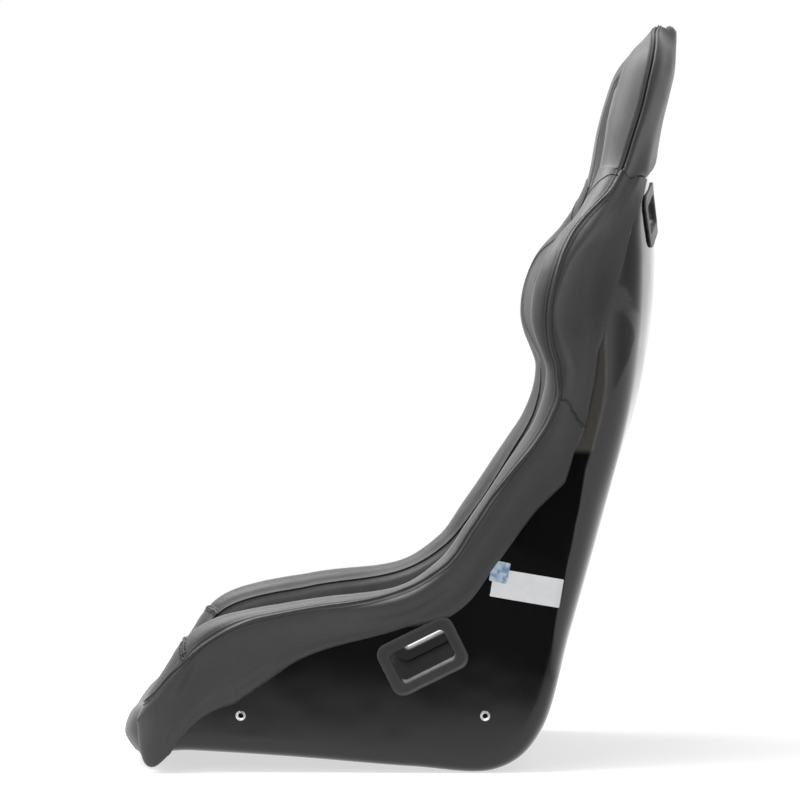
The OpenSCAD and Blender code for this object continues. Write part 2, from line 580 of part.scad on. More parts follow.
// Hook and loop strips hold the cushion down.
function strip_col(x) = x * NF / (flank - flank_r);
module strips(a, b) for (s = [-1, 1]) {
    c = [for (e = [-1, 1]) strip_col(s * strip_pitch / 2 + e * strip_w / 2)];
    us = [4.1, 5, 6, 7, 8, 8.9];
    slab([for (u = us) [for (v = c) in_at(u, NH + v, a)]],
        [for (u = us) [for (v = c) in_at(u, NH + v, b)]], turn = function(u, j) s < 0);
}
module loop_strips() color([0.1, 0.1, 0.1]) strips(strip_gap, strip_gap + strip_t);
module hook_strips() color([0.2, 0.2, 0.2])
    strips(2 * strip_gap + strip_t, 2 * (strip_gap + strip_t));

shell();
mount_plate_left();
mount_plate_right();
mount_bushes();
lap_bezel_outer_left();
lap_bezel_outer_right();
lap_bezel_inner_left();
lap_bezel_inner_right();
shoulder_bezel_rear_left();
shoulder_bezel_rear_right();
shoulder_bezel_front_left();
shoulder_bezel_front_right();
crotch_bezel_bottom();
crotch_bezel_top();
thigh_bolster_left();
thigh_bolster_right();
nose_cover_left();
nose_cover_right();
wing_bolster_left();
wing_bolster_right();
head_cover();
headrest_pad();
back_pad();
lumbar_pad();
front_apron();
loop_strips();
seat_cushion();
hook_strips();
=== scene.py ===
# %% Load the frame
import math
import bmesh
import bpy
import numpy as np
from mathutils import Matrix, Vector, kdtree, noise
from mathutils.bvhtree import BVHTree


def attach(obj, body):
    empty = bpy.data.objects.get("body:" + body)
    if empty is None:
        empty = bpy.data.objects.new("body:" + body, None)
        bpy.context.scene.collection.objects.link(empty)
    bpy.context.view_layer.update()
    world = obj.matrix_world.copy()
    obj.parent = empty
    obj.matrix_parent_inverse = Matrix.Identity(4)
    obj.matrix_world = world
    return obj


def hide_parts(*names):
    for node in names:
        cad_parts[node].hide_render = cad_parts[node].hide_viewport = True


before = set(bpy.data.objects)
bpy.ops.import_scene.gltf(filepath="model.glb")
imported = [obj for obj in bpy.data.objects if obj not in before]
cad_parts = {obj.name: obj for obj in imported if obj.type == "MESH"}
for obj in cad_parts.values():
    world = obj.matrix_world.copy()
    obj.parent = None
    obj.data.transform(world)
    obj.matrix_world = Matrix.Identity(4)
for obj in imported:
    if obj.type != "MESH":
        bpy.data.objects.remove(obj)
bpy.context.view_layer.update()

# %% [markdown]
# ## The shape of the shell
# The real tub is one glass-fibre moulding, so one smooth rule should give its whole skin. A row
# of stations runs from the front lip, under the hips and up the back to the head. Each one is a
# cross-section: a crowned floor, a round corner and a flank that flares at its rim. Between
# stations a Catmull-Rom curve keeps the skin smooth. This repeats the frame's own rule, only
# with more rows, so that the gloss has no facets to catch on.

# %% Stations of the shell, in millimetres
MM = 0.001
FLOOR, CORNER, WALL, BAND = 3, 3, 2, 3     # columns across half of the shell
RIM = FLOOR + CORNER + WALL + BAND         # the rim's column
LAST = 32                                  # the last row, at the top of the head
SHELL_WALL = 4.0
FLARE = 50.0
Y_MID = 5.0
# edge y, edge z, crown, rim y, rim z, edge half width, rim half width, radius, cover band
STATIONS = np.array([
    [-292, 64, 18, -280, 96, 200, 201, 12, 16],
    [-284, 28, 16, -257, 119, 200, 203, 19.2, 70],
    [-238, 24, 4, -212, 162, 200, 204, 24, 92],
    [-120, 16, 0, -110, 183, 200, 204, 24, 50],
    [20, 5.4, 0, 6, 197, 200, 204, 20, 26],
    [121, 1.9, 0, 69, 236, 200, 203, 24, 33],
    [177, 51, 4, 107, 288, 200, 201, 36, 38],
    [210, 168, 8, 147, 349, 196.5, 199, 48, 45],
    [245, 300, 14, 187, 413, 191, 200, 52, 58],
    [273, 430, 25, 203, 477, 186, 208, 54, 44],
    [280, 532, 37, 184, 544, 185, 236, 54, 66],
    [283, 606, 39, 199, 604, 183, 241, 49, 68],
    [287, 655, 33, 236, 650, 163, 200, 40, 52],
    [298, 706, 17, 269, 706, 131, 154, 28, 36],
    [311, 768, 10, 290, 772, 117, 136, 22, 20],
    [331, 838, 6, 311, 843, 102, 119, 20, 18],
    [338, 872, 0, 324, 877, 60, 72, 14, 12]])


def rows_at(u):
    """Stations at rows u, two rows to a station, along a Catmull-Rom curve."""
    u = np.atleast_1d(np.asarray(u, float))
    count = len(STATIONS)
    i = np.clip(np.floor(u / 2).astype(int), 0, count - 2)
    t = (u / 2 - i)[:, None]
    ends = np.vstack([2 * STATIONS[0] - STATIONS[1], STATIONS, 2 * STATIONS[-1] - STATIONS[-2]])
    p0, p1, p2, p3 = ends[i], ends[i + 1], ends[i + 2], ends[i + 3]
    return 0.5 * (2 * p1 + (p2 - p0) * t + (2 * p0 - 5 * p1 + 4 * p2 - p3) * t ** 2
                  + (3 * p1 - p0 - 3 * p2 + p3) * t ** 3)


def skin(u, v):
    """Points of the outer skin: rows u, columns v from -RIM (right rim) to RIM (left rim)."""
    r = rows_at(u)[:, None, :]
    v = np.asarray(v, float)
    v = v[None, :] if v.ndim == 1 else v
    a = np.abs(v)
    edge_y, edge_z, crown, rim_y, rim_z, edge_x, rim_x, radius, band = np.moveaxis(r, 2, 0)
    length = np.hypot(rim_y - edge_y, rim_z - edge_z)
    radius = np.minimum(radius, 0.45 * length)
    flare = np.minimum(np.minimum(length, FLARE), 0.9 * band)
    x_floor = edge_x - radius
    s_floor = -crown * (1 - (x_floor / edge_x) ** 2)
    s_corner = s_floor + 2 * crown * x_floor / edge_x ** 2 * radius
    s_wall = s_corner + radius
    band = np.minimum(band, 0.62 * (length - s_wall))

    def wall_x(s):
        return edge_x + (rim_x - edge_x) * np.maximum(0, (s - length + flare) / flare) ** 1.6

    floor_x = x_floor * a / FLOOR
    floor_s = -crown * (1 - (floor_x / edge_x) ** 2)
    t = (a - FLOOR) / CORNER
    foot_x = wall_x(s_wall)
    corner_x = x_floor * (1 - t) ** 2 + 2 * edge_x * t * (1 - t) + foot_x * t ** 2
    corner_s = s_floor * (1 - t) ** 2 + 2 * s_corner * t * (1 - t) + s_wall * t ** 2
    w = (a - FLOOR - CORNER) / WALL
    wall_s = np.where(w <= 1, s_wall + (length - band - s_wall) * w,
                      length - band * (RIM - a) / BAND)
    x = np.where(a <= FLOOR, floor_x, np.where(a <= FLOOR + CORNER, corner_x, wall_x(wall_s)))
    s = np.where(a <= FLOOR, floor_s, np.where(a <= FLOOR + CORNER, corner_s, wall_s))
    y = edge_y + s * (rim_y - edge_y) / length - Y_MID
    z = edge_z + s * (rim_z - edge_z) / length
    return np.stack([x * np.where(v < 0, -1, 1), y + 0 * x, z + 0 * x], -1)


def unit(v):
    return v / np.maximum(np.linalg.norm(v, axis=-1, keepdims=True), 1e-9)


def skin_normal(u, v):
    """Unit normals that leave the shell, by small steps along rows and columns."""
    u = np.atleast_1d(np.asarray(u, float))
    v = np.asarray(v, float)
    step_u, step_v = 0.25, 0.2
    along = skin(np.minimum(u + step_u, LAST), v) - skin(np.maximum(u - step_u, 0), v)
    across = skin(u, np.minimum(v + step_v, RIM)) - skin(u, np.maximum(v - step_v, -RIM))
    return unit(np.cross(along, across))


def outside(u, v, off):
    return skin(u, v) + off * skin_normal(u, v)


def inside(u, v, off):
    return skin(u, v) - (SHELL_WALL + off) * skin_normal(u, v)


print("shell rows:", LAST, "back of the head at y", round(float(skin([30], [0])[0, 0, 1]), 1), "mm")

# %% [markdown]
# ## Meshes from grids
# Every panel of the seat is a grid of points: rows run along the rim, columns run across the
# cover. Faces join each point with its neighbours. A grid can close on itself, as a sock does.
# Two rows of different lengths are zipped together with triangles, and what hole is left is
# filled, so each piece is a closed solid that could be printed.

# %% Make a mesh object from rows of points
def new_object(name, points, faces, material=None, smooth=True):
    mesh = bpy.data.meshes.new(name)
    mesh.from_pydata((np.asarray(points) * MM).tolist(), [], faces)
    mesh.validate()
    mesh.polygons.foreach_set("use_smooth", [smooth] * len(mesh.polygons))
    if material is not None:
        mesh.materials.append(material)
    obj = bpy.data.objects.new(name, mesh)
    bpy.context.scene.collection.objects.link(obj)
    return obj


def grid_faces(rows, columns, ring=False, flip=False, first=0):
    """Quads of a grid whose points are stored row by row."""
    faces = []
    for i in range(rows - 1):
        for j in range(columns if ring else columns - 1):
            k = (j + 1) % columns
            quad = (first + i * columns + j, first + i * columns + k,
                    first + (i + 1) * columns + k, first + (i + 1) * columns + j)
            faces.append(quad[::-1] if flip else quad)
    return faces


def two_skins(top, under):
    """Points and faces of the solid between two grids of the same size."""
    rows, columns = top.shape[:2]
    base = rows * columns
    faces = grid_faces(rows, columns) + grid_faces(rows, columns, flip=True, first=base)
    border = [*range(columns), *range(2 * columns - 1, base, columns),
              *range(base - 2, base - columns - 1, -1), *range(base - 2 * columns, 0, -columns)]
    faces += [(a, a + base, b + base, b) for a, b in zip(border, border[1:] + border[:1])]
    return np.concatenate([top.reshape(-1, 3), under.reshape(-1, 3)]), faces


def pieced(parts):
    """Joins (points, faces) pairs into one list of points and one list of faces."""
    all_points, all_faces = [], []
    for points, faces in parts:
        start = len(all_points)
        all_points += list(points)
        all_faces += [tuple(start + k for k in face) for face in faces]
    return all_points, all_faces


def surface_of(*objs):
    """A tree of the faces of some mesh objects, in millimetres."""
    return BVHTree.FromPolygons(*pieced([([tuple(p.co / MM) for p in obj.data.vertices],
                                          [face.vertices for face in obj.data.polygons])
                                         for obj in objs]))


def tree_of(points):
    """A tree that finds the nearest of some points."""
    tree = kdtree.KDTree(len(points))
    for k, p in enumerate(points):
        tree.insert(p, k)
    tree.balance()
    return tree


def run_along(points):
    """How far along a line each of its points is."""
    return np.concatenate([[0], np.cumsum(np.linalg.norm(np.diff(points, axis=0), axis=1))])


def curve_at(points, places, wanted):
    """Points between those of a line, by the place of each along it."""
    return np.stack([np.interp(wanted, places, points[:, axis]) for axis in range(3)], -1)


def zipped(first, second, at_first, at_second):
    """Triangles between two rows of point numbers whose places both run from low to high."""
    faces, i, j = [], 0, 0
    while i < len(first) - 1 or j < len(second) - 1:
        if j == len(second) - 1 or (i < len(first) - 1 and at_first[i + 1] <= at_second[j + 1]):
            faces.append((first[i], first[i + 1], second[j]))
            i += 1
        else:
            faces.append((first[i], second[j + 1], second[j]))
            j += 1
    return faces


def closed_up(obj, sharp=50):
    """Fills the holes that are left, turns all faces outwards and marks the sharp edges."""
    bm = bmesh.new()
    bm.from_mesh(obj.data)
    open_edges = [edge for edge in bm.edges if edge.is_boundary]
    if open_edges:
        filled = bmesh.ops.holes_fill(bm, edges=open_edges, sides=0)["faces"]
        bmesh.ops.triangulate(bm, faces=filled)
    bmesh.ops.recalc_face_normals(bm, faces=bm.faces)
    if bm.calc_volume(signed=True) < 0:
        bmesh.ops.reverse_faces(bm, faces=bm.faces)
    bm.to_mesh(obj.data)
    bm.free()
    obj.data.set_sharp_from_angle(angle=math.radians(sharp))
    return obj


def smooth_table(u, pairs, reach=0.6):
    """Looks u up in (row, value) pairs, with the corners of the line rounded off."""
    rows, values = np.transpose(pairs)
    return np.mean([np.interp(np.asarray(u, float) + d, rows, values)
                    for d in np.linspace(-reach, reach, 9)], axis=0)


print("grid of 3 x 4 points has", len(grid_faces(3, 4)), "faces")

# %% [markdown]
# ## Foam under the covers
# The cover wraps the rim like a saddle. Outside it is a thin skin over the flank, over the rim
# it is thick foam, and inside it fills the flank down to the floor. Three tables hold how thick
# it is at each row, and one path holds how it goes round the rim.

# %% Foam thickness along the seat, and the path of a cover across the rim
HEM = 4.0                       # thickness of the cover on the flank
FIT = 0.4                       # clearance from the shell
FOOT = 2.5                      # thickness of the cover where it ends inside, at the floor
SECTION_END = 17                # the last place of a section: its hem is at 0, its rim at 5 to 9
RIM_TURNS = (45, 90, 135)       # degrees round the rim's edge
OUTER_CREST, INNER_CREST = 0.42, 1.04   # shares of the crest's foam outside and inside the rim
NOSE_CORNER = 7.0               # extra foam where the nose goes under the front corner
NOSE_SEAM, WAIST_SEAM, NECK_SEAM = 3.4, 17.0, 26.0
CREST = [(0, 12), (1, 16), (2, 19), (5, 22), (7, 24), (12, 24), (16, 22), (20, 20), (23, 20),
         (25, 22), (26, 24), (28, 33), (30, 31), (31, 26), (32, 15)]
SIDE = [(0, 6), (2, 9), (4, 18), (6, 24), (16, 24), (20, 32), (23, 30), (26, 32), (28, 31),
        (31, 25), (32, 19)]
FRONT = [(0, 15), (1.6, 14), (2.6, 8), (3.2, 4), (4.2, 1.5), (6, 0)]
# The hem's column at each row: it swings down round the front corner at the nose.
HEM_LINE = [(0, 3.6), (2.3, 3.6), (3, 4.8), (3.6, 6.2), (4.1, 7.1), (4.7, 7.65), (5.6, 8.05),
            (6.5, 8.35), (7.6, 8.2), (9, 8), (15.5, 8.1), (17, 7.5), (18, 7.1), (19, 6.1),
            (20, 5.55), (21, 5.3), (22, 5.0), (24, 4.7), (25, 4.4), (26, 3.8)]
NECK_FILL, FILL_COLUMN, FILL_REACH = 11.0, 7.2, 2.6     # foam behind the ears, over the side wall


def column(values):
    return np.asarray(values, float)[:, None, None]


def round_rim(u, side, turn, off):
    """Points round the rim's edge: turn is 0 on the outer face and 180 on the inner face."""
    v = [side * RIM]
    out, inn, normal = skin(u, v)[:, 0], inside(u, v, 0)[:, 0], skin_normal(u, v)[:, 0]
    along = skin(np.minimum(u + 0.25, LAST), v)[:, 0] - skin(np.maximum(u - 0.25, 0), v)[:, 0]
    tip = unit(side * np.cross(normal, along))
    a = math.radians(turn)
    return out + (inn - out) * turn / 180 \
        + np.asarray(off)[:, None] * (math.cos(a) * normal + math.sin(a) * tip)


def smooth_step(share):
    """Goes from 0 to 1 with a soft start and end."""
    share = np.clip(share, 0, 1)
    return share * share * (3 - 2 * share)


def neck_fill(u, v):
    """Foam that fills the hollow behind the ears and fades out down the wing."""
    share = smooth_step((u - 22.6) / 3.0)
    return NECK_FILL * share * np.exp(-((v - FILL_COLUMN) / FILL_REACH) ** 4)


def hem_column(u):
    return np.mean([np.interp(u + d, *np.transpose(HEM_LINE)) for d in np.linspace(-0.45, 0.45, 7)],
                   axis=0)


def over_rim(u, side, spot, middle, last=FLOOR, floor_off=None):
    """Control points of a cover from its rim down the inside, as far as the last column."""
    crest, foam = smooth_table(u, CREST), smooth_table(u, SIDE)
    points = [spot([side * RIM], 0) if middle
              else round_rim(u, side, turn, crest * (0.74 + 0.3 * turn / 135))
              for turn in RIM_TURNS]
    face = np.abs(inside(u, [side * (FLOOR + CORNER)], 0)[:, 0, 0]) - foam
    for v in range(RIM, last - 1, -1):
        w = (RIM - v) / (RIM - FLOOR - CORNER)
        start = INNER_CREST * crest
        off = start + (foam - start) * min(1, 2 * w) if w < 1 else FOOT + 0 * u
        if floor_off is not None and v <= FLOOR:
            off = floor_off if v < FLOOR else (floor_off + FOOT) / 2
        p = spot([side * v], off, inside)
        if v <= FLOOR + CORNER and not middle:
            p[:, 0] = side * np.minimum(side * p[:, 0], face)
        points.append(p)
    return points


def cover_controls(u, side):
    """Control points of the cover's section at rows u: hem, flank, rim, inside, foot."""
    crest, front, hem = smooth_table(u, CREST), smooth_table(u, FRONT), hem_column(u)

    def spot(v, off, face=outside):
        return face(u, v, column(off))[:, 0]

    points = []
    for k in range(-2, BAND + 1):
        v = hem + max(k, 0) / BAND * (RIM - hem) + 0.06 * min(k, 0)
        w = np.clip((v - RIM + BAND) / BAND, 0, 1)
        off = HEM + front + w * w * (OUTER_CREST * crest - HEM * 0.5)
        off = off + NOSE_CORNER * np.clip(1 - (v - FLOOR) / CORNER, 0, 1) \
            * np.minimum(1, u / 2) * np.clip((NOSE_SEAM - u) / 1.4, 0, 1) + neck_fill(u, v)
        points.append(spot(side * v[:, None], off * {-2: 0, -1: 0.6}.get(k, 1) + 0.3))
    return np.stack(points + over_rim(u, side, spot, False), 1)


def curve_through(points, t):
    """Catmull-Rom curve through points along axis 1, at positions t (0 is the first point)."""
    n = points.shape[1]
    ends = np.concatenate([2 * points[:, :1] - points[:, 1:2], points,
                           2 * points[:, -1:] - points[:, -2:-1]], 1)
    i = np.clip(np.floor(t).astype(int), 0, n - 2)
    f = (t - i)[None, :, None]
    p0, p1, p2, p3 = ends[:, i], ends[:, i + 1], ends[:, i + 2], ends[:, i + 3]
    return 0.5 * (2 * p1 + (p2 - p0) * f + (2 * p0 - 5 * p1 + 4 * p2 - p3) * f ** 2
                  + (3 * p1 - p0 - 3 * p2 + p3) * f ** 3)


sections = cover_controls(np.array([8.0]), 1)
print("a cover's section has", sections.shape[1], "control points; crest at z",
      round(float(sections[0, :, 2].max()), 1), "mm")

# %% [markdown]
# ## Seams and stitches
# A sewn cover is easy to tell from a moulded one: at each seam the vinyl turns under, so there
# is a narrow groove with a puffed shoulder on each side, and the top-stitch pulls little
# dimples. A seam here is a line of points on the cover. The cover's points find how far they
# are from it, and sink or swell by that distance alone. The threads are real little tubes.

# %% Seam lines, the shape beside them, and threads
# each seam as (row, place in the section)
OUTER_SEAM = [(0, 5.46), (1, 5.39), (2, 5.61), (2.5, 5.56), (3, 5.3), (3.5, 5.15), (4, 5.14),
              (4.5, 5.5), (5, 5.87), (6, 6.03), (7, 6.25), (8, 6.66), (9, 6.55), (10, 6.27),
              (12, 6.13), (13, 6.21), (14, 5.99), (15, 5.83), (16, 5.84), (17, 5.97), (18, 6.64),
              (19, 6.76), (20, 6.4), (21, 6.46), (22, 6.7), (23, 6.99), (24, 6.72), (25, 6.08),
              (26, 6.16), (29, 6.38), (31, 6.45), (32, 6.95)]
INNER_SEAM = [(0, 9.1), (4, 9.0), (8, 8.7), (16, 8.8), (20, 9.0), (26, 9.1), (32, 9.0)]
STITCH_ROW = 4.2                # distance of a stitch row from its seam
STITCH_PITCH = 4.4
FURROW = 0.45                   # how deep a stitch row is drawn in
STITCH_HALF, THREAD_SIDES, THREAD_RADIUS, THREAD_LIFT = 1.5, 5, 0.6, 0.45
SEAM_STEP, SEAM_REACH = 0.7, 16.0       # spacing of a seam's own points; how far its shape goes
STITCH_FACES = grid_faces(4, THREAD_SIDES, ring=True) \
    + [tuple(range(THREAD_SIDES))[::-1], tuple(range(3 * THREAD_SIDES, 4 * THREAD_SIDES))]


class Seam:
    """A sewn line: points on a cover, and a tree that finds the nearest of them."""

    def __init__(self, points, depth=2.6, width=0.85, puff=0.7, pucker=0.16):
        self.points = np.asarray(points, float)
        self.depth, self.width, self.puff, self.pucker = depth, width, puff, pucker
        self.along = run_along(self.points)
        count = max(2, int(self.along[-1] / SEAM_STEP))
        self.fine_along = np.linspace(0, self.along[-1], count)
        self.tree = tree_of(self.at(self.fine_along))

    def at(self, s):
        return curve_at(self.points, self.along, s)

    def nearest(self, points):
        """Each point's distance from the seam, and how far along the seam that is."""
        found, along = np.full(len(points), SEAM_REACH), np.zeros(len(points))
        low, high = self.points.min(0) - SEAM_REACH, self.points.max(0) + SEAM_REACH
        for k in np.where(((points > low) & (points < high)).all(1))[0]:
            _, number, distance = self.tree.find(points[k])
            if distance < SEAM_REACH:
                found[k], along[k] = distance, self.fine_along[number]
        return found, along

    def swell(self, points):
        """How far each point moves out along its normal: a groove between puffed shoulders,
        with a small pucker at every second stitch."""
        d, s = self.nearest(points)
        waves = self.pucker * np.sin(s * math.pi / STITCH_PITCH) \
            * np.exp(-((d - STITCH_ROW) / 2.6) ** 2)
        rows = (FURROW if self.pucker else 0.0) * np.exp(-((d - STITCH_ROW) / 0.8) ** 2)
        return waves - rows + self.puff * np.exp(-((d - 5.0) / 3.6) ** 2) \
            - self.depth * np.exp(-(d / self.width) ** 2)


def seam_shade_marks(points):
    """How near each raw point is to a groove or to a row of stitches, from 0 to 1: the mask of
    painted shade that darkens the vinyl in the grooves, and more faintly along the stitch rows.
    """
    d = np.min([seam.nearest(points)[0] for seam in all_seams if seam.depth > 1], axis=0)
    row_d = np.min([seam.nearest(points)[0] for seam in all_seams if seam.pucker], axis=0)
    return np.maximum(np.exp(-(d / 1.0) ** 2), 0.4 * np.exp(-((row_d - STITCH_ROW) / 1.1) ** 2))


def store_seam_shade(obj, tree, marks):
    """Stores the seam marks on a cover, as the mask of its painted seam shade. tree finds the grid
    point that each of its points was.
    """
    values = np.zeros(len(obj.data.vertices))
    for k, p in enumerate(obj.data.vertices):
        _, number, distance = tree.find(p.co / MM)
        values[k] = marks[number] if distance < 0.1 else 0.0
    shade_layer = obj.data.attributes.new("painted_seam_shade", "FLOAT", "POINT")
    shade_layer.data.foreach_set("value", values)


def grid_normals(points, ring=False):
    """Normals of a grid of points (rows, columns, 3)."""
    across = np.gradient(points, axis=1)
    if ring:
        across = np.roll(points, -1, 1) - np.roll(points, 1, 1)
    return unit(np.cross(np.gradient(points, axis=0), across))


def stitch(centre, tangent, normal):
    """One stitch: a short tube whose two ends dive into the cover."""
    tangent = unit(tangent - normal * tangent.dot(normal))
    across, points = np.cross(normal, tangent), []
    for t in (-1, -0.6, 0.6, 1):
        middle = centre + tangent * STITCH_HALF * t + normal * (THREAD_LIFT if abs(t) < 1 else -0.5)
        for a in range(THREAD_SIDES):
            angle = 2 * math.pi * a / THREAD_SIDES
            points.append(middle + THREAD_RADIUS * (math.cos(angle) * across
                                                    + math.sin(angle) * normal))
    return points, STITCH_FACES


def stitch_places(length):
    return STITCH_PITCH * (np.arange(int(length / STITCH_PITCH)) + 0.5)


def thread(seam, surface, offset):
    """Points and faces of one row of stitches at an offset from a seam, laid on a surface."""
    stitches = []
    for s in stitch_places(seam.along[-1]):
        here, ahead = seam.at(np.array([s - 0.5, s + 0.5]))
        near, normal = surface.find_nearest(Vector((here + ahead) / 2))[:2]
        across = unit(np.cross(np.array(normal), unit(ahead - here)))
        spot = Vector((here + ahead) / 2 + across * offset)
        near, normal = surface.find_nearest(spot)[:2]
        if near is not None and (near - spot).length <= 4:
            stitches.append(stitch(np.array(near), ahead - here, np.array(normal)))
    return pieced(stitches)


def thread_along(line, normals):
    """Points and faces of one row of stitches along a line that lies on a cover."""
    along = run_along(line)
    stitches = []
    for s in stitch_places(along[-1]):
        before, here, ahead = curve_at(line, along, np.array([s - STITCH_HALF, s, s + STITCH_HALF]))
        stitches.append(stitch(here, ahead - before, unit(curve_at(normals, along, s))))
    return pieced(stitches)


print("outer seam has", len(OUTER_SEAM), "places, a stitch every", STITCH_PITCH, "mm")

# %% [markdown]
# ## One long cover, cut into panels
# On each side the padded cover is sewn from four panels: nose, thigh, shoulder wing and head.
# They share one sweep, so the panels meet exactly. Points are packed tightly beside the seams,
# where the shape turns in a few millimetres, and are wide apart on the plain foam.

# %% Points of a side cover
PACK_REACH, PACK_GAIN = 9.0, 4.5        # how far from a seam columns are packed, and how much
COVER_COLUMNS, HEAD_COLUMNS = 112, 128


def rows_between(first, last, step, close_to):
    """Rows whose spacing along the rim is about step millimetres, finer near chosen rows."""
    u = np.linspace(first, last, 1200)
    pace = np.diff(run_along(skin(u, [RIM])[:, 0])) / step
    middle = (u[1:] + u[:-1]) / 2
    for row in close_to:
        pace *= 1 + 4 * np.exp(-((middle - row) / 0.14) ** 2)
    total = np.concatenate([[0], np.cumsum(pace)])
    rows = np.interp(np.linspace(0, total[-1], int(total[-1]) + 2), total, u)
    for row in close_to:
        rows[np.argmin(np.abs(rows - row))] = row
    return rows


def packed(length, close_to):
    """Positions from 0 to length, packed round the places in close_to (arrays, one per row)."""
    t = np.linspace(0, 1, 301)[None, :] * length[:, None]
    pace = np.ones(t.shape)
    for place in close_to:
        pace *= 1 + PACK_GAIN * np.exp(-((t - place[:, None]) / PACK_REACH) ** 4)
    total = np.cumsum(pace * (length / 300)[:, None], axis=1)
    return t, total / total[:, -1:]


def fixed_columns(t, share, seams, columns):
    """Where the columns lie at each row. Each seam keeps one column, so its groove is crisp."""
    at = (columns - 1) * np.array([[np.interp(seam[k], t[k], share[k]) for seam in seams]
                                   for k in range(len(share))])
    numbers = np.rint(at.mean(axis=0)).astype(int)
    spots = np.empty((len(share), columns))
    for k in range(len(share)):
        even = np.interp(np.arange(columns), [0, *numbers, columns - 1], [0, *at[k], columns - 1])
        spots[k] = np.interp(even / (columns - 1), share[k], t[k])
        spots[k, numbers] = [seam[k] for seam in seams]
    return spots, numbers


def seam_places(u):
    """Places of the outer and the inner long seam in the section at rows u."""
    return smooth_table(u, OUTER_SEAM, 0.25), smooth_table(u, INNER_SEAM)


def columned(curves, t, seam_lines, columns):
    """A grid of points on the curves of all rows, each point's place, and the seam columns."""
    arcs = np.array([run_along(curve) for curve in curves])
    seams = [np.array([np.interp(place, t, arc) for place, arc in zip(line, arcs)])
             for line in seam_lines]
    spots, numbers = fixed_columns(*packed(arcs[:, -1], seams), seams, columns)
    points = [curve_at(curve, arc, row) for curve, arc, row in zip(curves, arcs, spots)]
    places = [np.interp(row, arc, t) for arc, row in zip(arcs, spots)]
    return np.array(points), np.array(places), numbers


def cover_section(u, side):
    """A grid over the rim at rows u, each point's place in the section, and the seam columns."""
    controls = cover_controls(u, side)
    t = np.linspace(0, controls.shape[1] - 1, 700)
    return columned(curve_through(controls, t), t, seam_places(u), COVER_COLUMNS)


def relaxed(grid, weights, turns, facing, ring=False):
    """Evens out a grid by moving points towards their neighbours; weights has one value a row.
    The grid is folded at its first row, and facing is each column's neighbour over the fold."""
    grid, share = grid.copy(), 0.5 * np.asarray(weights)[:, None, None]
    for _ in range(turns):
        across = (np.roll(grid, 1, 1) + np.roll(grid, -1, 1)) / 2
        if not ring:
            across[:, 0], across[:, -1] = grid[:, 0], grid[:, -1]
        tall = np.concatenate([grid[1:2, facing], grid, grid[-1:]])
        grid += share * ((tall[2:] + tall[:-2]) / 4 + across / 2 - grid)
    return grid


def facing_columns(places, side):
    """For each column, the column on the other side whose place is nearest (side is 0 or 1)."""
    facing = np.empty(len(places), int)
    for j, place in enumerate(places):
        others = np.nonzero(side != side[j])[0]
        facing[j] = others[np.argmin(np.abs(places[others] - place))]
    return facing


def rim_lining(u, side):
    return np.stack([round_rim(u, side, turn, np.full(len(u), FIT)) for turn in RIM_TURNS[::-1]],
                    1)


def lining(u, side):
    """The side of a cover that lies on the shell, from its foot back to its hem."""
    down = [side * v for v in np.linspace(FLOOR, RIM, 13)]
    hem = hem_column(u) - 0.12
    back = side * (RIM + np.linspace(0, 1, 9) * (hem[:, None] - RIM))
    return np.concatenate([inside(u, down, FIT), rim_lining(u, side), outside(u, back, 0.2)], 1)


demo = cover_section(np.array([8.0, 8.1]), 1)[0]
print("cover section:", demo.shape[1], "points")

# %% [markdown]
# ## The finishes
# Vinyl, gel coat, moulded plastic, zinc and thread are all told apart by how they scatter light,
# more than by their colour. Grain, patches and edge wear are used by several finishes, so each is
# a node group that puts out only a mask or a height. The shader itself stays in each material.

# %% A short way to add shader nodes
def fill_in(tree, sockets, values):
    """Puts plain values and links into sockets, which are given by name or number."""
    for name, value in dict(values).items():
        if isinstance(value, bpy.types.NodeSocket):
            tree.links.new(value, sockets[name])
        else:
            sockets[name].default_value = value


def node(tree, kind, inputs=(), **options):
    """Adds a shader node. inputs pairs a socket with a plain value or with another socket."""
    made = tree.nodes.new("ShaderNode" + kind)
    for name, value in options.items():
        setattr(made, name, value)
    fill_in(tree, made.inputs, inputs)
    return made


def maths(tree, operation, a, b=0.0):
    return node(tree, "Math", {0: a, 1: b}, operation=operation).outputs[0]


def object_place(tree):
    """The object's own coordinates, in metres. A tree needs only one such node."""
    return (tree.nodes.get("Texture Coordinate") or node(tree, "TexCoord")).outputs["Object"]


def speckle(tree, scale, detail=1.0, **more):
    """Noise from 0 to 1, with about scale lumps to a metre."""
    return node(tree, "TexNoise", {"Vector": object_place(tree), "Scale": scale,
                                   "Detail": detail, **more})


def spread(tree, value, low, high, to_low=0.0, to_high=1.0):
    """Maps a mask from one range to another, smoothly and clamped."""
    return node(tree, "MapRange", {0: value, 1: low, 2: high, 3: to_low, 4: to_high},
                interpolation_type="SMOOTHSTEP").outputs[0]


def start_group(name, inputs, outputs):
    """A new node group with number inputs (name: value) and number outputs."""
    tree = bpy.data.node_groups.new(name, "ShaderNodeTree")
    for title, value in inputs.items():
        socket = tree.interface.new_socket(title, in_out="INPUT", socket_type="NodeSocketFloat")
        socket.default_value = value
    for title in outputs:
        tree.interface.new_socket(title, in_out="OUTPUT", socket_type="NodeSocketFloat")
    ends = tree.nodes.new("NodeGroupInput"), tree.nodes.new("NodeGroupOutput")
    return tree, ends[0].outputs, ends[1].inputs


def place_group(tree, group, **inputs):
    made = tree.nodes.new("ShaderNodeGroup")
    made.node_tree = group
    for name, value in inputs.items():
        made.inputs[name.replace("_", " ").capitalize()].default_value = value
    return made.outputs


print("node helpers ready")

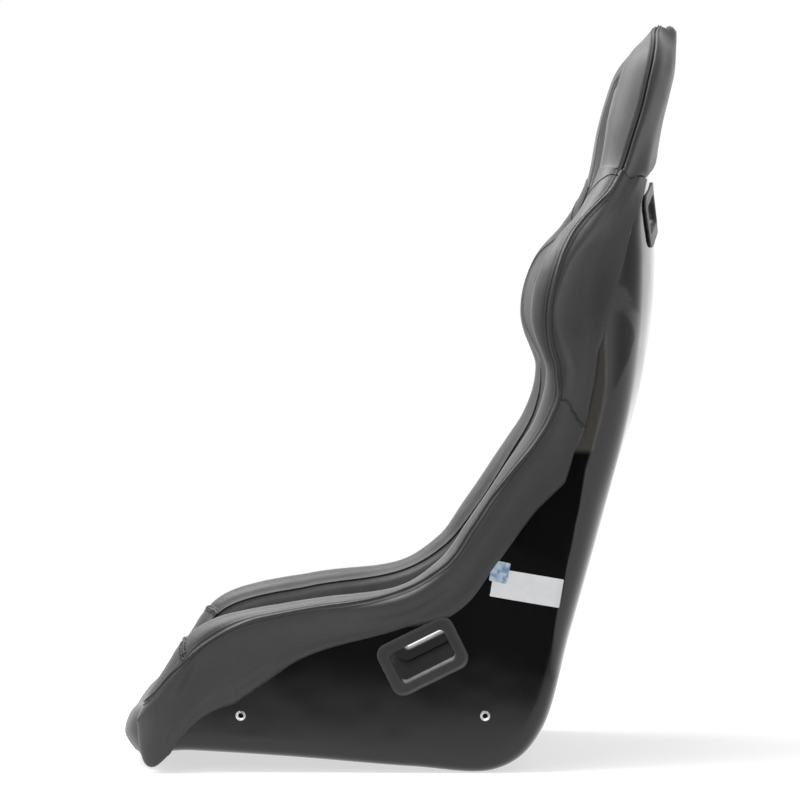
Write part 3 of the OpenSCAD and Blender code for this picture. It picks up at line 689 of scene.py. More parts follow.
# %% Grain: the pebbles of embossed vinyl and of moulded plastic
BEND = (0.0012, 0.0012, 0.0012)         # how far the pebbles' pattern is bent, in metres
grain, knob, out = start_group("pebble grain", {"Pebbles per metre": 900.0, "Crease": 0.22,
                                                "Fine": 0.25}, ["Height", "Crease mask"])
offset = node(grain, "VectorMath", {0: speckle(grain, 260.0).outputs["Color"], 1: BEND},
              operation="MULTIPLY").outputs[0]
bent = node(grain, "VectorMath", {0: object_place(grain), 1: offset}, operation="ADD").outputs[0]
cells = node(grain, "TexVoronoi", {"Vector": bent, "Scale": knob["Pebbles per metre"]},
             feature="DISTANCE_TO_EDGE").outputs["Distance"]
pebble = spread(grain, cells, 0.0, knob["Crease"])
dots = speckle(grain, 2600.0, 2.0).outputs[0]
fill_in(grain, out, {
    "Height": maths(grain, "ADD", pebble, maths(grain, "MULTIPLY", dots, knob["Fine"])),
    "Crease mask": maths(grain, "SUBTRACT", 1.0, pebble)})
print("grain group:", len(grain.nodes), "nodes")

# %% Patches: large soft differences of tone, from handling and from stretch
patches, knob, out = start_group("soft patches", {"Size": 11.0, "Low": 0.35, "High": 0.7}, ["Mask"])
cloud = speckle(patches, knob["Size"], 3.0, Roughness=0.6, Distortion=0.4).outputs[0]
fill_in(patches, out, {"Mask": spread(patches, cloud, knob["Low"], knob["High"])})
print("patches group:", len(patches.nodes), "nodes")

# %% Edge wear: what sticks out is rubbed brighter, broken up by a fine noise
wear, knob, out = start_group("edge wear", {"From": 0.51, "To": 0.58, "Break up": 90.0}, ["Mask"])
edge = spread(wear, node(wear, "NewGeometry").outputs["Pointiness"], knob["From"], knob["To"])
broken = spread(wear, speckle(wear, knob["Break up"], 4.0).outputs[0], 0.35, 0.6)
fill_in(wear, out, {"Mask": maths(wear, "MULTIPLY", edge, broken)})
print("wear group:", len(wear.nodes), "nodes")

# %% Start a material, and finish its shader
def start_material(name):
    material = bpy.data.materials.new(name)
    material.use_nodes = True
    tree = material.node_tree
    tree.nodes.clear()
    shader = tree.nodes.new("ShaderNodeBsdfPrincipled")
    output = tree.nodes.new("ShaderNodeOutputMaterial")
    tree.links.new(shader.outputs[0], output.inputs[0])
    return material, tree, shader.inputs


def blend_colours(tree, mask, *colours):
    """Blends two colours, each a plain one or a socket, by a mask."""
    first, second = (c if isinstance(c, bpy.types.NodeSocket) else (*c, 1.0) for c in colours)
    return node(tree, "Mix", {0: mask, 6: first, 7: second}, data_type="RGBA").outputs[2]


def bump(tree, height, strength, distance, **under):
    """A bump node; distance is in metres of real height. Normal is a bump that lies under it."""
    return node(tree, "Bump", {"Height": height, "Strength": strength, "Distance": distance,
                               **under}).outputs[0]


def finish(tree, shader, tone, rough, relief=None, **more):
    """Sets a shader. tone is a mask and two colours, rough a plain value or what spread() takes,
    and relief the height, strength and distance of a bump, or a bump."""
    fill_in(tree, shader, {"Base Color": blend_colours(tree, *tone),
                           "Roughness": spread(tree, *rough) if isinstance(rough, tuple) else rough})
    if relief:
        relief = bump(tree, *relief) if isinstance(relief, tuple) else relief
        fill_in(tree, shader, {"Normal": relief})
    fill_in(tree, shader, {name.replace("_", " "): value for name, value in more.items()})


print("material helpers ready")

# %% [markdown]
# The covers are a charcoal vinyl with a fine leather emboss. It is nearly matt, with a soft
# sheen where it turns away, so its roughness is high and a little sheen lies on top. The pads
# between the bolsters are the same cloth in a coarser emboss.

# %% Vinyl of the covers and of the pads
def vinyl(name, colour, creases, pebbles, rough, height):
    material, tree, shader = start_material(name)
    emboss = place_group(tree, grain, pebbles_per_metre=pebbles, crease=0.24, fine=0.3)
    worn = place_group(tree, patches, size=9.0, low=0.38, high=0.72)["Mask"]
    rubbed = blend_colours(tree, worn, colour, tuple(c * 1.14 for c in colour))
    # painted shade: the emboss's creases are given a darker colour, for the shade in the grain's
    # hollows
    leather = blend_colours(tree, emboss["Crease mask"], rubbed, creases)
    # painted shade: the vinyl goes near black by the seam marks, for the shade in each groove; along
    # the stitch rows the fainter dark line is partly the furrow's shade, partly the dark thread
    gap = node(tree, "Attribute", attribute_name="painted_seam_shade").outputs["Fac"]
    folds = bump(tree, speckle(tree, 38.0, 2.0).outputs[0], 0.35, 0.0012)
    finish(tree, shader, (gap, leather, (0.003, 0.003, 0.003)),
           (worn, 0, 1, rough + 0.03, rough - 0.05),
           bump(tree, emboss["Height"], 0.55, height, Normal=folds),
           IOR=1.5, Sheen_Weight=0.12, Sheen_Roughness=0.45)
    return material


cover_vinyl = vinyl("cover vinyl", (0.038, 0.038, 0.040), (0.024, 0.024, 0.026),
                    820.0, 0.47, 0.00012)
pad_vinyl = vinyl("pad vinyl", (0.034, 0.034, 0.036), (0.020, 0.020, 0.022),
                  560.0, 0.52, 0.00018)
print("vinyl:", cover_vinyl.name, "and", pad_vinyl.name)

# %% [markdown]
# The shell is sprayed black gel coat over glass cloth. Polished gel coat mirrors like wet paint,
# but the mould gives it a long, faint waviness, and dust and hand marks dull it in patches. The
# inside of the tub is never polished: there the glass cloth prints through black resin.

# %% Gel coat outside, raw laminate inside
gelcoat, tree, shader = start_material("gloss gel coat")
# painted reflection: on the flats above the flank the base colour turns brown-grey, standing in for
# a reflection that the gel coat shows there
height = node(tree, "SeparateXYZ", {0: object_place(tree)}).outputs[2]
towards = node(tree, "TexCoord").outputs["Normal"]
sideways = maths(tree, "ABSOLUTE", node(tree, "SeparateXYZ", {0: towards}).outputs[0])
painted_reflection_band = maths(tree, "MULTIPLY", spread(tree, sideways, 0.977, 0.9925),
             spread(tree, height, 0.377, 0.386))
hazy = place_group(tree, patches, size=7.0, low=0.42, high=0.74)["Mask"]
haze = maths(tree, "MULTIPLY", hazy, spread(tree, speckle(tree, 1500.0).outputs[0], 0.5, 0.72))
waves = bump(tree, speckle(tree, 16.0).outputs[0], 0.5, 0.0016)
finish(tree, shader, (painted_reflection_band, (0.0062, 0.0060, 0.0060), (0.088, 0.082, 0.074)),
       (haze, 0, 1, 0.055, 0.17),
       bump(tree, speckle(tree, 240.0).outputs[0], 0.12, 0.00012, Normal=waves), IOR=1.5)

laminate, tree, shader = start_material("raw laminate")
axes = node(tree, "SeparateXYZ", {0: object_place(tree)}).outputs
warp = maths(tree, "SINE", maths(tree, "MULTIPLY", axes[0], 1900.0))
weft = maths(tree, "SINE", maths(tree, "MULTIPLY", maths(tree, "ADD", axes[1], axes[2]), 1500.0))
weave = maths(tree, "MULTIPLY", warp, weft)
resin = place_group(tree, patches, size=16.0, low=0.4, high=0.6)["Mask"]
finish(tree, shader, (spread(tree, weave, -0.6, 0.8), (0.010, 0.010, 0.011), (0.024, 0.024, 0.026)),
       (resin, 0, 1, 0.34, 0.6), (weave, 0.5, 0.0003))
print("shell finishes:", gelcoat.name, "and", laminate.name)

# %% [markdown]
# The small parts: belt guides moulded in black nylon with a fine spark texture, bushes in bright
# zinc with turning marks, plates in satin black paint that has chipped at the edges, hook and
# loop pile, thread, and two stickers on the flank, one of paper and one of foil.

# %% Finishes of the small parts
bezel_plastic, tree, shader = start_material("moulded nylon")
texture = place_group(tree, grain, pebbles_per_metre=1900.0, crease=0.5, fine=0.5)
worn = place_group(tree, wear)["Mask"]
finish(tree, shader, (worn, (0.019, 0.019, 0.020), (0.075, 0.075, 0.078)),
       (worn, 0, 1, 0.46, 0.36), (texture["Height"], 0.4, 0.00007))

bush_zinc, tree, shader = start_material("bright zinc")
dull = place_group(tree, patches, size=160.0, low=0.4, high=0.65)["Mask"]
marks = speckle(tree, 900.0, 3.0).outputs[0]
finish(tree, shader, (dull, (0.82, 0.82, 0.80), (0.55, 0.56, 0.57)),
       (marks, 0.3, 0.7, 0.16, 0.36), (marks, 0.3, 0.00006), Metallic=1.0)

plate_paint, tree, shader = start_material("satin black paint")
texture = place_group(tree, grain, pebbles_per_metre=1300.0, crease=0.6, fine=0.2)
chips = place_group(tree, wear, break_up=140.0)["Mask"]
finish(tree, shader, (chips, (0.022, 0.022, 0.024), (0.42, 0.42, 0.41)),
       (chips, 0, 1, 0.42, 0.3), (texture["Height"], 0.25, 0.00008), Metallic=chips)

strip_pile, tree, shader = start_material("hook and loop pile")
fuzz = place_group(tree, grain, pebbles_per_metre=640.0, crease=0.75, fine=0.9)
# painted shade: the pile is near black in the creases between its lumps, for the shade down among
# the hooks
finish(tree, shader, (fuzz["Crease mask"], (0.030, 0.030, 0.031), (0.008, 0.008, 0.008)), 0.95,
       (fuzz["Height"], 1.0, 0.0009))

thread_yarn, tree, shader = start_material("bonded thread")
twist = speckle(tree, 3200.0).outputs[0]
finish(tree, shader, (spread(tree, twist, 0.35, 0.65), (0.004, 0.004, 0.004), (0.014, 0.014, 0.015)),
       0.6, (twist, 0.5, 0.0001))

label_paper, tree, shader = start_material("label paper")
mottle = place_group(tree, patches, size=40.0, low=0.3, high=0.8)["Mask"]
finish(tree, shader, (mottle, (0.84, 0.85, 0.86), (0.78, 0.79, 0.80)), (mottle, 0, 1, 0.38, 0.5))

foil, tree, shader = start_material("silver foil")
tint = speckle(tree, 130.0, 2.0).outputs[0]
finish(tree, shader, (spread(tree, tint, 0.4, 0.6), (0.30, 0.47, 0.72), (0.60, 0.72, 0.80)),
       (tint, 0.3, 0.7, 0.3, 0.45), (tint, 0.3, 0.0001), Metallic=0.55)
print("materials made:", len(bpy.data.materials))

# %% [markdown]
# ## Head cover
# The head cover is a sock: one closed ring of vinyl and foam that is pulled over the top of the
# shell. Half of the ring is drawn, from the middle of the back, round the ear and in to the
# middle of the front, and the other half is its mirror image.

# %% Half of the head cover's ring
BROW = [(26, 2.5), (30, 2.5), (31, 9.9), (32, 18.15)]
BACK_SWELL = 1.5                # how much thicker the sock is than a hem, on the back
BACK_RISE = 0.9                 # rows by which its hem rises towards the middle of the back


def raised(u, v):
    """Rows u at column v of the back: the sock's hem rises from the wings to the middle."""
    share = smooth_step((3.9 - abs(v)) / 3.4)
    return u + BACK_RISE * share * (LAST - u) / (LAST - NECK_SEAM)


def ring_controls(u, middle=False):
    """Control points of the sock's left half: back, rim, inside. With middle=True they lie in
    the middle of the shell's wall instead."""
    crest = smooth_table(u, CREST)
    hem_roll = np.clip((u - NECK_SEAM) / 0.16, 0, 1) ** 0.5

    def spot(v, off, face=outside):
        if middle:
            return outside(u, v, 0)[:, 0] / 2 + inside(u, v, 0)[:, 0] / 2
        return face(raised(u, v[0]) if face is outside else u, v, column(off + 0 * u))[:, 0]

    points = []
    for v in range(RIM + 1):
        w = max(0, (v - RIM + BAND) / BAND)
        off = HEM + 0.3 + w * w * (OUTER_CREST * crest - HEM * 0.5)
        middle_share = np.clip((RIM - BAND - v) / 3, 0, 1)
        off = off + BACK_SWELL * middle_share + neck_fill(u, v)
        points.append(spot([v], off - (off - 0.3) * middle_share * (1 - hem_roll)))
    return np.stack(points + over_rim(u, 1, spot, middle, 0, np.interp(u, *np.transpose(BROW))), 1)


RING_SHIFT = RIM - 5            # the same place is this much further on in the ring
head_rows = rows_between(NECK_SEAM, LAST, 3.6, close_to=(NECK_SEAM,))
controls = ring_controls(head_rows)
controls[:, [0, -1], 0] = 0
ring_t = np.linspace(0, controls.shape[1] - 1, 900)
half_ring = curve_through(controls, ring_t)
half_middle = curve_through(ring_controls(head_rows[-1:], middle=True), ring_t)[0]
print("half of the head ring:", half_ring.shape[:2], "points")

# %% Rows of the head cover, drawn together over the top
TIP_UP, TIP_BACK = np.array([0, 0.148, 0.989]), np.array([0, 0.989, -0.148])
EAR_PLACE = 12.5                # the back's last place that is pulled tight
TIP_RIM, TIP_MIDDLE = 13.5, 30.0        # height of the sock over the shell's top: ends, middle
HEAD_RELAX = 40                 # rounds of evening out of the top
RING = 52                       # places round the whole ring
TIP_TURNS = np.radians([14, 27, 39, 50, 60, 69, 76, 82, 86])


def stretched(points, places, share):
    """Pulls the back of one ring out to its convex hull, as a tight sock would lie."""
    depth = points @ TIP_BACK
    flat = np.stack([points[:, 0], depth], 1)
    centre = np.array([0, depth[np.argmin(np.abs(places - EAR_PLACE))]])
    whole = np.concatenate([flat, flat[::-1] * [-1, 1]]) - centre
    back = places <= EAR_PLACE
    for j in np.nonzero(back)[0]:
        along = unit(flat[j] - centre)
        across = np.array([-along[1], along[0]])
        a, b = whole @ along, whole @ across
        right, left = (b > 0.01) & (a > 0), (b < -0.01) & (a > 0)
        reach = a[(np.abs(b) <= 0.01) & (a > 0)]
        reach = max(reach) if len(reach) else 0
        if right.any() and left.any():
            # where the hull's edge crosses the ray from the centre
            r, l = np.nonzero(right)[0], np.nonzero(left)[0]
            cross = (a[r][:, None] * -b[l][None] + a[l][None] * b[r][:, None]) \
                / (b[r][:, None] - b[l][None])
            reach = max(reach, cross.max())
        move = share * max(0, reach - np.linalg.norm(flat[j] - centre)) * along
        points[j] += move[0] * np.array([1, 0, 0]) + move[1] * TIP_BACK
    return points


half_points, head_places, head_numbers = columned(
    half_ring, ring_t, [line + RING_SHIFT for line in seam_places(head_rows)], HEAD_COLUMNS)
head_half = np.array([stretched(points, places, np.clip((u - NECK_SEAM) / 1.5, 0, 1))
                      for points, places, u in zip(half_points, head_places, head_rows)])
top_middle = curve_at(half_middle, ring_t, head_places[-1])


def tip_height(v):
    """How high the sock stands over the shell's top edge at column v."""
    return (TIP_RIM + (TIP_MIDDLE - TIP_RIM) * (1 - np.minimum(1, (v / RIM) ** 2)))[:, None]


def whole_ring(places):
    """Places round the whole ring, from those of its left half."""
    return np.concatenate([places, RING - places[-2:0:-1]])


def ring_column(places):
    """The column at places of the whole ring: 0 in its middles, -RIM or RIM near the ears."""
    return np.interp(np.minimum(places, RING - places), [0, 11, 13, 15, 26],
                     [0, 11, 11.3, 11, 0]) * np.where(places > RING / 2, -1, 1)


top_v = np.interp(head_places[-1], [0, RIM, RIM + 4, 26], [0, RIM, RIM, 0])
top_rows = [top_middle + (head_half[-1] - top_middle) * math.cos(turn) ** 0.75
            + tip_height(top_v) * math.sin(turn) * TIP_UP for turn in TIP_TURNS]
head_half = np.concatenate([head_half, np.array(top_rows)])
mirror = np.array([-1, 1, 1])
head_ring = np.concatenate([head_half, (head_half * mirror)[:, -2:0:-1]], 1)
ring_places = whole_ring(head_places[-1])
ring_v = ring_column(ring_places)
in_front = np.abs(ring_places - RING / 2) < RING / 4
from_top = np.arange(len(head_ring))
fade = np.clip((len(TIP_TURNS) + 22 - from_top) / 12, 0.25, 1) \
    * np.clip((len(head_ring) - 1 - from_top) / 5, 0, 1)
head_ring = relaxed(head_ring[::-1], fade, HEAD_RELAX, facing_columns(ring_v, in_front),
                    ring=True)[::-1]
# the top is a low dome: no point stands higher than this line over its depth
TOP_LINE = [(290, 908), (305, 903), (312, 899), (318, 899), (330, 896), (338, 889), (342, 879),
            (345, 867)]
limit = np.interp(head_ring[..., 1], *np.transpose(TOP_LINE))
head_ring[..., 2] = -2.5 * np.logaddexp(-head_ring[..., 2] / 2.5, -limit / 2.5)
ridge_v = np.linspace(-RIM, RIM, 75)
halves = []
for half in (in_front, ~in_front):
    order = np.nonzero(half)[0][np.argsort(ring_v[half])]
    halves.append(curve_at(head_ring[-1][order], ring_v[order], ridge_v))
ridge_line = (halves[0] + halves[1]) / 2 + 0.6 * TIP_UP
print("head cover:", head_ring.shape[0], "rows of", head_ring.shape[1], "points")

# %% [markdown]
# ## Raw grids and seam lines
# All seams are drawn on the raw shape first, because a seam runs from one panel to the next: the
# long double-stitched seam starts at one nose, follows the whole rim, crosses the top of the
# head and comes down on the other side. Short seams cross it at the nose, waist and neck.

# %% Raw grids of the side covers, and the long seams
# where the two faces of the nose meet: x, y and z at places 0 to 7 of the section
NOSE_RIDGE = np.array([[191.7, -300, 57], [194.5, -308.5, 56], [197.5, -313, 59.5],
                       [199, -311.5, 66], [200, -308.5, 73], [201, -304.5, 80.5],
                       [201, -300.9, 88], [201, -297.5, 96]])
INNER_TO_RIDGE = [(7, 7), (9, 5.4), (12, 4), (15, 2.8), (16, 1), (17, 0)]
NOSE_TURNS = np.radians([88, 80, 71, 62, 53, 44, 35, 26, 17, 8])
RIDGE_END = 7                   # the section's place where the nose is folded
NOSE_RELAX = 14                 # rounds of evening out of the nose
NOSE_FILL = np.array([0, -6, -14])      # the foam pushes the nose's lowest part out by this
side_rows = rows_between(0, NECK_SEAM, 4.0, close_to=(NOSE_SEAM, WAIST_SEAM, NECK_SEAM))
raw, raw_places, seam_lines, seam_numbers, folds = {}, {}, {}, {}, {}


def joined(row, place, outer):
    """The row of points where the outer and inner halves of a nose meet, the same for both."""
    inner = np.nonzero(~outer)[0][::-1]
    halves = [curve_at(row[half], place[half], place) for half in (outer, inner)]
    return (halves[0] + halves[1]) / 2


for side in (1, -1):
    points, places, numbers = cover_section(side_rows, side)
    ridge_place = np.where(places[0] <= RIDGE_END, places[0],
                           np.interp(places[0], *np.transpose(INNER_TO_RIDGE)))
    nose_ridge = curve_through(NOSE_RIDGE[None] * [side, 1, 1], ridge_place)[0]
    forward, inward = (points[0] - nose_ridge) * [0, 1, 1], (points[0] - nose_ridge) * [1, 0, 0]
    # a quarter of an ellipse from each point of the first row to the ridge
    tip = np.array([nose_ridge + forward * (1 - math.sin(turn)) + inward * math.cos(turn)
                    for turn in NOSE_TURNS])
    fade = np.clip((len(tip) + 16 - np.arange(len(tip) + len(points))) / 10, 0, 1)
    folds[side] = ridge_place, places[0] <= RIDGE_END
    grid = np.concatenate([tip, points])
    for _ in range(NOSE_RELAX):
        grid = relaxed(grid, fade, 2, facing_columns(*folds[side]))
        grid[0] = joined(grid[0], *folds[side])
    away = np.linalg.norm(grid[..., 1:] - [-292, 15], axis=-1) / 26
    raw[side] = grid + NOSE_FILL * np.exp(-away ** 2)[..., None]
    raw_places[side] = np.concatenate([np.repeat(places[:1], len(tip), 0), places])
    seam_lines[side], seam_numbers[side] = [raw[side][:, number] for number in numbers], numbers
    print("side", side, "grid:", raw[side].shape[:2])

head_seams = [head_ring[:len(head_rows), number] for number in head_numbers]
ear = head_ring[len(head_rows):, head_numbers[0]]
over_top = ridge_line[::-1][(ridge_line[::-1][:, 0] < ear[-1, 0] - 2)
                            & (ridge_line[::-1][:, 0] > 2 - ear[-1, 0])]
left_line = np.concatenate([seam_lines[1][0], head_seams[0][1:], ear])
right_line = np.concatenate([seam_lines[-1][0], (head_seams[0] * mirror)[1:], ear * mirror])
long_seam = Seam(np.concatenate([left_line, over_top, right_line[::-1]]))
inner_seams = [Seam(np.concatenate([seam_lines[side][1][18:], (head_seams[1] * [side, 1, 1])[1:-6]]),
                    depth=1.9, puff=0.5, pucker=0.0) for side in (1, -1)]
print("the long seam is", round(long_seam.along[-1] / 1000, 2), "m")

# %% Short seams across the rim
def seam_across(side, pairs, **shape):
    """A seam through (row, place) pairs on a side cover."""
    steps = np.linspace(0, len(pairs) - 1, 60)
    u, place = (np.interp(steps, range(len(pairs)), part) for part in np.transpose(pairs))
    t = np.linspace(0, SECTION_END, 700)
    lines = curve_through(cover_controls(u, side), t)
    return Seam([curve_at(line, t, spot) for line, spot in zip(lines, place)], **shape)


NECK_PATH = [(25.75, 6.1), (25.7, 6.7), (25.4, 7.3), (25.0, 7.9), (24.6, 8.6), (24.3, 10)]
WAIST_PATH = [(17, 0.4), (16.93, 3.0), (17.02, 5.9)]
TUCK_PATH = [(2.8, 2.45), (4.0, 2.5), (5.5, 2.6), (7.5, 2.3)]


def pair_of_seams(path, **shape):
    return [seam_across(side, path, **shape) for side in (1, -1)]


nose_seams = pair_of_seams([(2.65, 5.4), (3.15, 7.0), (3.3, 9.0)])
waist_seams = pair_of_seams(WAIST_PATH, puff=0.5, pucker=0.0)
# the neck seam crosses the grid at a slant, so it is shown by its dark cord alone, a line of painted
# shade
neck_seams = pair_of_seams(NECK_PATH, depth=0.0, puff=0.0, pucker=0.0)
tucks = pair_of_seams(TUCK_PATH, depth=0.7, width=3.0, puff=0.3, pucker=0.0)
all_seams = [long_seam] + inner_seams + nose_seams + waist_seams + neck_seams + tucks
print("seams:", len(all_seams), "total", round(sum(s.along[-1] for s in all_seams) / 1000, 1), "m")

# %% Press the seams and the slight waves of foam into the raw grids
def foam_waves(points):
    """Low waves that stretched vinyl shows over foam, in millimetres: broad ones and finer ones."""
    return np.array([0.75 * noise.noise(Vector(p) / 62)
                     + 0.28 * noise.noise(Vector(p) / 21 + Vector((7, 3, 1))) for p in points])


def sewn(grid, normals, seams, waves=1.0):
    """Moves a grid's points along their normals by the seams and by a share of the waves."""
    flat = grid.reshape(-1, 3)
    move = waves * foam_waves(flat)
    for seam in seams:
        move = move + seam.swell(flat)
    return (flat + move[:, None] * normals.reshape(-1, 3)).reshape(grid.shape)


shaped, cover_normals = {}, {}
for side in (1, -1):
    normals = grid_normals(raw[side])
    cover_normals[side] = normals * np.sign(normals[60, 60, 0] * side)
    shaped[side] = sewn(raw[side], cover_normals[side], all_seams)
    shaped[side][0] = joined(shaped[side][0], *folds[side])
head_normals = grid_normals(head_ring, ring=True)
head_normals = head_normals * np.sign(head_normals[10, 0, 1])
head_shaped = sewn(head_ring, head_normals, all_seams)
ridge_shaped = sewn(ridge_line, np.repeat(TIP_UP[None], len(ridge_line), 0), all_seams)
print("grids sewn; groove at mid thigh", round(float(np.abs(shaped[1] - raw[1]).max()), 2), "mm")

# %% [markdown]
# ## Panels as solids
# The sewn grid is cut at the short seams, so the nose, thigh and wing panels share their border
# points and meet without a step. Each panel gets a lining that lies on the shell, and is closed
# between the two, as the real one is filled with foam.

# %% Cut the side covers into closed panels
# the lining's points by their place in the section, from the hem to the foot
LINING_PLACES = SECTION_END - np.concatenate([np.linspace(0, 8, 13), [9, 10, 11],
                                              np.linspace(12, 17, 9)])[::-1]


def side_panel(name, side, first_u, last_u, tip=False):
    """One panel of a side cover between two rows, filled down to the shell."""
    offset = len(NOSE_TURNS)
    first = int(np.argmin(np.abs(side_rows - first_u)))
    last = int(np.argmin(np.abs(side_rows - last_u)))
    start = 0 if tip else first + offset
    cover = shaped[side][start:last + offset + 1]
    below = lining(side_rows[first:last + 1], side)
    n, m, rows = cover.shape[1], below.shape[1], len(below)
    faces = grid_faces(len(cover), n)
    base = len(cover) * n
    faces += grid_faces(rows, m, first=base)
    shift = (len(cover) - rows) * n
    for i in range(rows - 1):
        a, b = shift + i * n, base + i * m
        faces.append((a, a + n, b + 2 * m - 1, b + m - 1))
        faces.append((a + n - 1, a + 2 * n - 1, b + m, b))

    def end_cap(row, first_number):
        """Closes one end of the panel, from its cover's row to a row of its lining."""
        below_row = range(base + (row + 1) * m - 1, base + row * m - 1, -1)
        return zipped(range(first_number, first_number + n), below_row, raw_places[side][0],
                      LINING_PLACES)

    faces += end_cap(rows - 1, (len(cover) - 1) * n)
    if tip:
        spots, on_outer = folds[side]
        outer, inner = (np.nonzero(half)[0].tolist() for half in (on_outer, ~on_outer))
        inner.reverse()
        faces += zipped(outer, inner, spots[outer], spots[inner])
    else:
        faces += end_cap(0, 0)
    points = np.concatenate([cover.reshape(-1, 3), below.reshape(-1, 3)])
    return closed_up(new_object(name, points, faces, cover_vinyl))


SIDES = ((1, "left"), (-1, "right"))
panels = {}
for side, word in SIDES:
    panels["nose_" + word] = side_panel("nose_cover_skin_" + word, side, 0, NOSE_SEAM, tip=True)
    panels["thigh_" + word] = side_panel("thigh_bolster_skin_" + word, side, NOSE_SEAM, WAIST_SEAM)
    panels["wing_" + word] = side_panel("wing_bolster_skin_" + word, side, WAIST_SEAM, NECK_SEAM)
print("panels:", {name: len(obj.data.polygons) for name, obj in panels.items()})

# %% The head cover as one closed sock
count, wide = head_shaped.shape[:2]
back_v = np.linspace(-RIM, RIM, 45)
sock_lining = np.concatenate([*(outside(raised(head_rows, v), [v], FIT) for v in back_v),
                              rim_lining(head_rows, 1)[:, ::-1],
                              inside(head_rows, back_v[::-1], FIT), rim_lining(head_rows, -1)], 1)
m = sock_lining.shape[1]
base = count * wide
ridge_base = base + sock_lining.shape[0] * m
faces = grid_faces(count, wide, ring=True) + grid_faces(len(head_rows), m, ring=True, first=base)


def place_of(v, on_front):
    """The place in the whole ring of column v of the lining."""
    around = np.where(on_front, RING / 2 - np.abs(v), np.abs(v))
    return np.where(v >= 0, around, RING - around)


cover_places = whole_ring(head_places[0])
lining_places = np.concatenate([place_of(back_v, False), [12, 13, 14],
                                place_of(back_v[::-1], True), [38, 39, 40]])
order = np.argsort(lining_places)
bottom_cover = list(range(wide)) + [0]
bottom_lining = [base + int(j) for j in order] + [base + int(order[0])]
faces += zipped(bottom_cover, bottom_lining, np.append(cover_places, RING),
                np.append(lining_places[order], RING + lining_places[order[0]]))

# the last ring meets the ridge line from behind and from the front
top = (count - 1) * wide
signed = ring_column(cover_places)
by_column = [int(j) for j in np.argsort(signed, kind="stable")]
on_back = np.minimum(cover_places, RING - cover_places) <= RING / 4
behind = [j for j in by_column if on_back[j]]
ahead = [behind[0]] + [j for j in by_column if not on_back[j]] + [behind[-1]]
ridge = [ridge_base + k for k in range(len(ridge_v))]
for row in (behind, ahead):
    faces += zipped([top + j for j in row], ridge, signed[row], ridge_v)
points = np.concatenate([head_shaped.reshape(-1, 3), sock_lining.reshape(-1, 3), ridge_shaped])
head_skin = closed_up(new_object("head_cover_skin", points, faces, cover_vinyl))
print("head cover:", len(head_skin.data.polygons), "faces")

# %% [markdown]
# ## The shell, and the holes in it
# The frame's shell is right in shape but has flat facets, and black gloss shows every one. The
# same skin is drawn again with close rows, and its belt slots and bush holes are cut by one
# boolean with a cutter that holds all of them.

# %% Places of the belt openings and of the mount bushes
LAP_Y, LAP_Z, LAP_TILT = 29.0, 139.0, 26.5
LAP_SIZE, SHOULDER_SIZE, CROTCH_SIZE = (71.0, 39.0), (72.0, 36.0), (76.0, 34.0)
SHOULDER_ROW, SHOULDER_COLUMN, SHOULDER_TILT = 24.3, 1.65, 14.0
CROTCH_ROW = 6.2
TUNNEL_WALL, FLANGE, FLANGE_T, SLOT_RADIUS = 3.0, 14.0, 2.4, 6.0
BUSH_Y, BUSH_Z, BUSH_OD = (-187.0, 103.0), 68.0, 12.0
FLANK = 200.0                   # how far the flank's skin is from the seat's middle
MIRROR_X = Matrix.Diagonal((-1, 1, 1, 1))


def frame_of(origin, x, y, z):
    return Matrix((*np.transpose([(*x, 0), (*y, 0), (*z, 0), (*origin, 1)]),))


def lap_frame():
    a = math.radians(LAP_TILT)
    return frame_of((FLANK, LAP_Y, LAP_Z), (0, math.cos(a), math.sin(a)),
                    (0, -math.sin(a), math.cos(a)), (1, 0, 0))


def skin_frame(row, across, tilt):
    z = skin_normal([row], [across])[0, 0]
    x = unit(np.cross([0, -z[2], z[1]], z))
    turned = Matrix.Rotation(math.radians(tilt), 4, "Z")
    return frame_of(skin([row], [across])[0, 0], x, np.cross(z, x), z) @ turned


SLOTS = {"lap_left": (lap_frame(), LAP_SIZE), "lap_right": (MIRROR_X @ lap_frame(), LAP_SIZE)}
shoulder = skin_frame(SHOULDER_ROW, SHOULDER_COLUMN, SHOULDER_TILT)
SLOTS["shoulder_left"] = (shoulder, SHOULDER_SIZE)
SLOTS["shoulder_right"] = (MIRROR_X @ shoulder, SHOULDER_SIZE)
SLOTS["crotch"] = (skin_frame(CROTCH_ROW, 0.0, 0.0), CROTCH_SIZE)
print("slots:", {name: tuple(round(c) for c in place.to_translation())
                 for name, (place, size) in SLOTS.items()})


# %% Cutters, and a boolean cut
def rounded_outline(w, h, r, corner_steps=8):
    """Points round a rounded rectangle, anticlockwise."""
    points = []
    for k, (sx, sy) in enumerate(((1, 1), (-1, 1), (-1, -1), (1, -1))):
        for a in np.linspace(k * math.pi / 2, (k + 1) * math.pi / 2, corner_steps):
            points.append((sx * (w / 2 - r) + r * math.cos(a), sy * (h / 2 - r) + r * math.sin(a)))
    return points


def prism(outline, low, high, place):
    """Points and faces of an outline extruded along the local Z of a place."""
    n = len(outline)
    points = [place @ Vector((x, y, z)) for z in (low, high) for x, y in outline]
    return points, [*grid_faces(2, n, ring=True), range(n)[::-1], range(n, 2 * n)]


def cutter(*prisms):
    points, faces = pieced([prism(*part) for part in prisms])
    return closed_up(new_object("cutter", points, faces, smooth=False))


def cut(obj, tool):
    """Cuts a tool out of an object and throws the tool away."""
    modifier = obj.modifiers.new("cut", "BOOLEAN")
    modifier.operation, modifier.object, modifier.solver = "DIFFERENCE", tool, "MANIFOLD"
    done = bpy.data.meshes.new_from_object(obj.evaluated_get(bpy.context.evaluated_depsgraph_get()))
    obj.modifiers.clear()
    obj.data = done
    bpy.data.objects.remove(tool)
    obj.data.set_sharp_from_angle(angle=math.radians(40))
    return obj


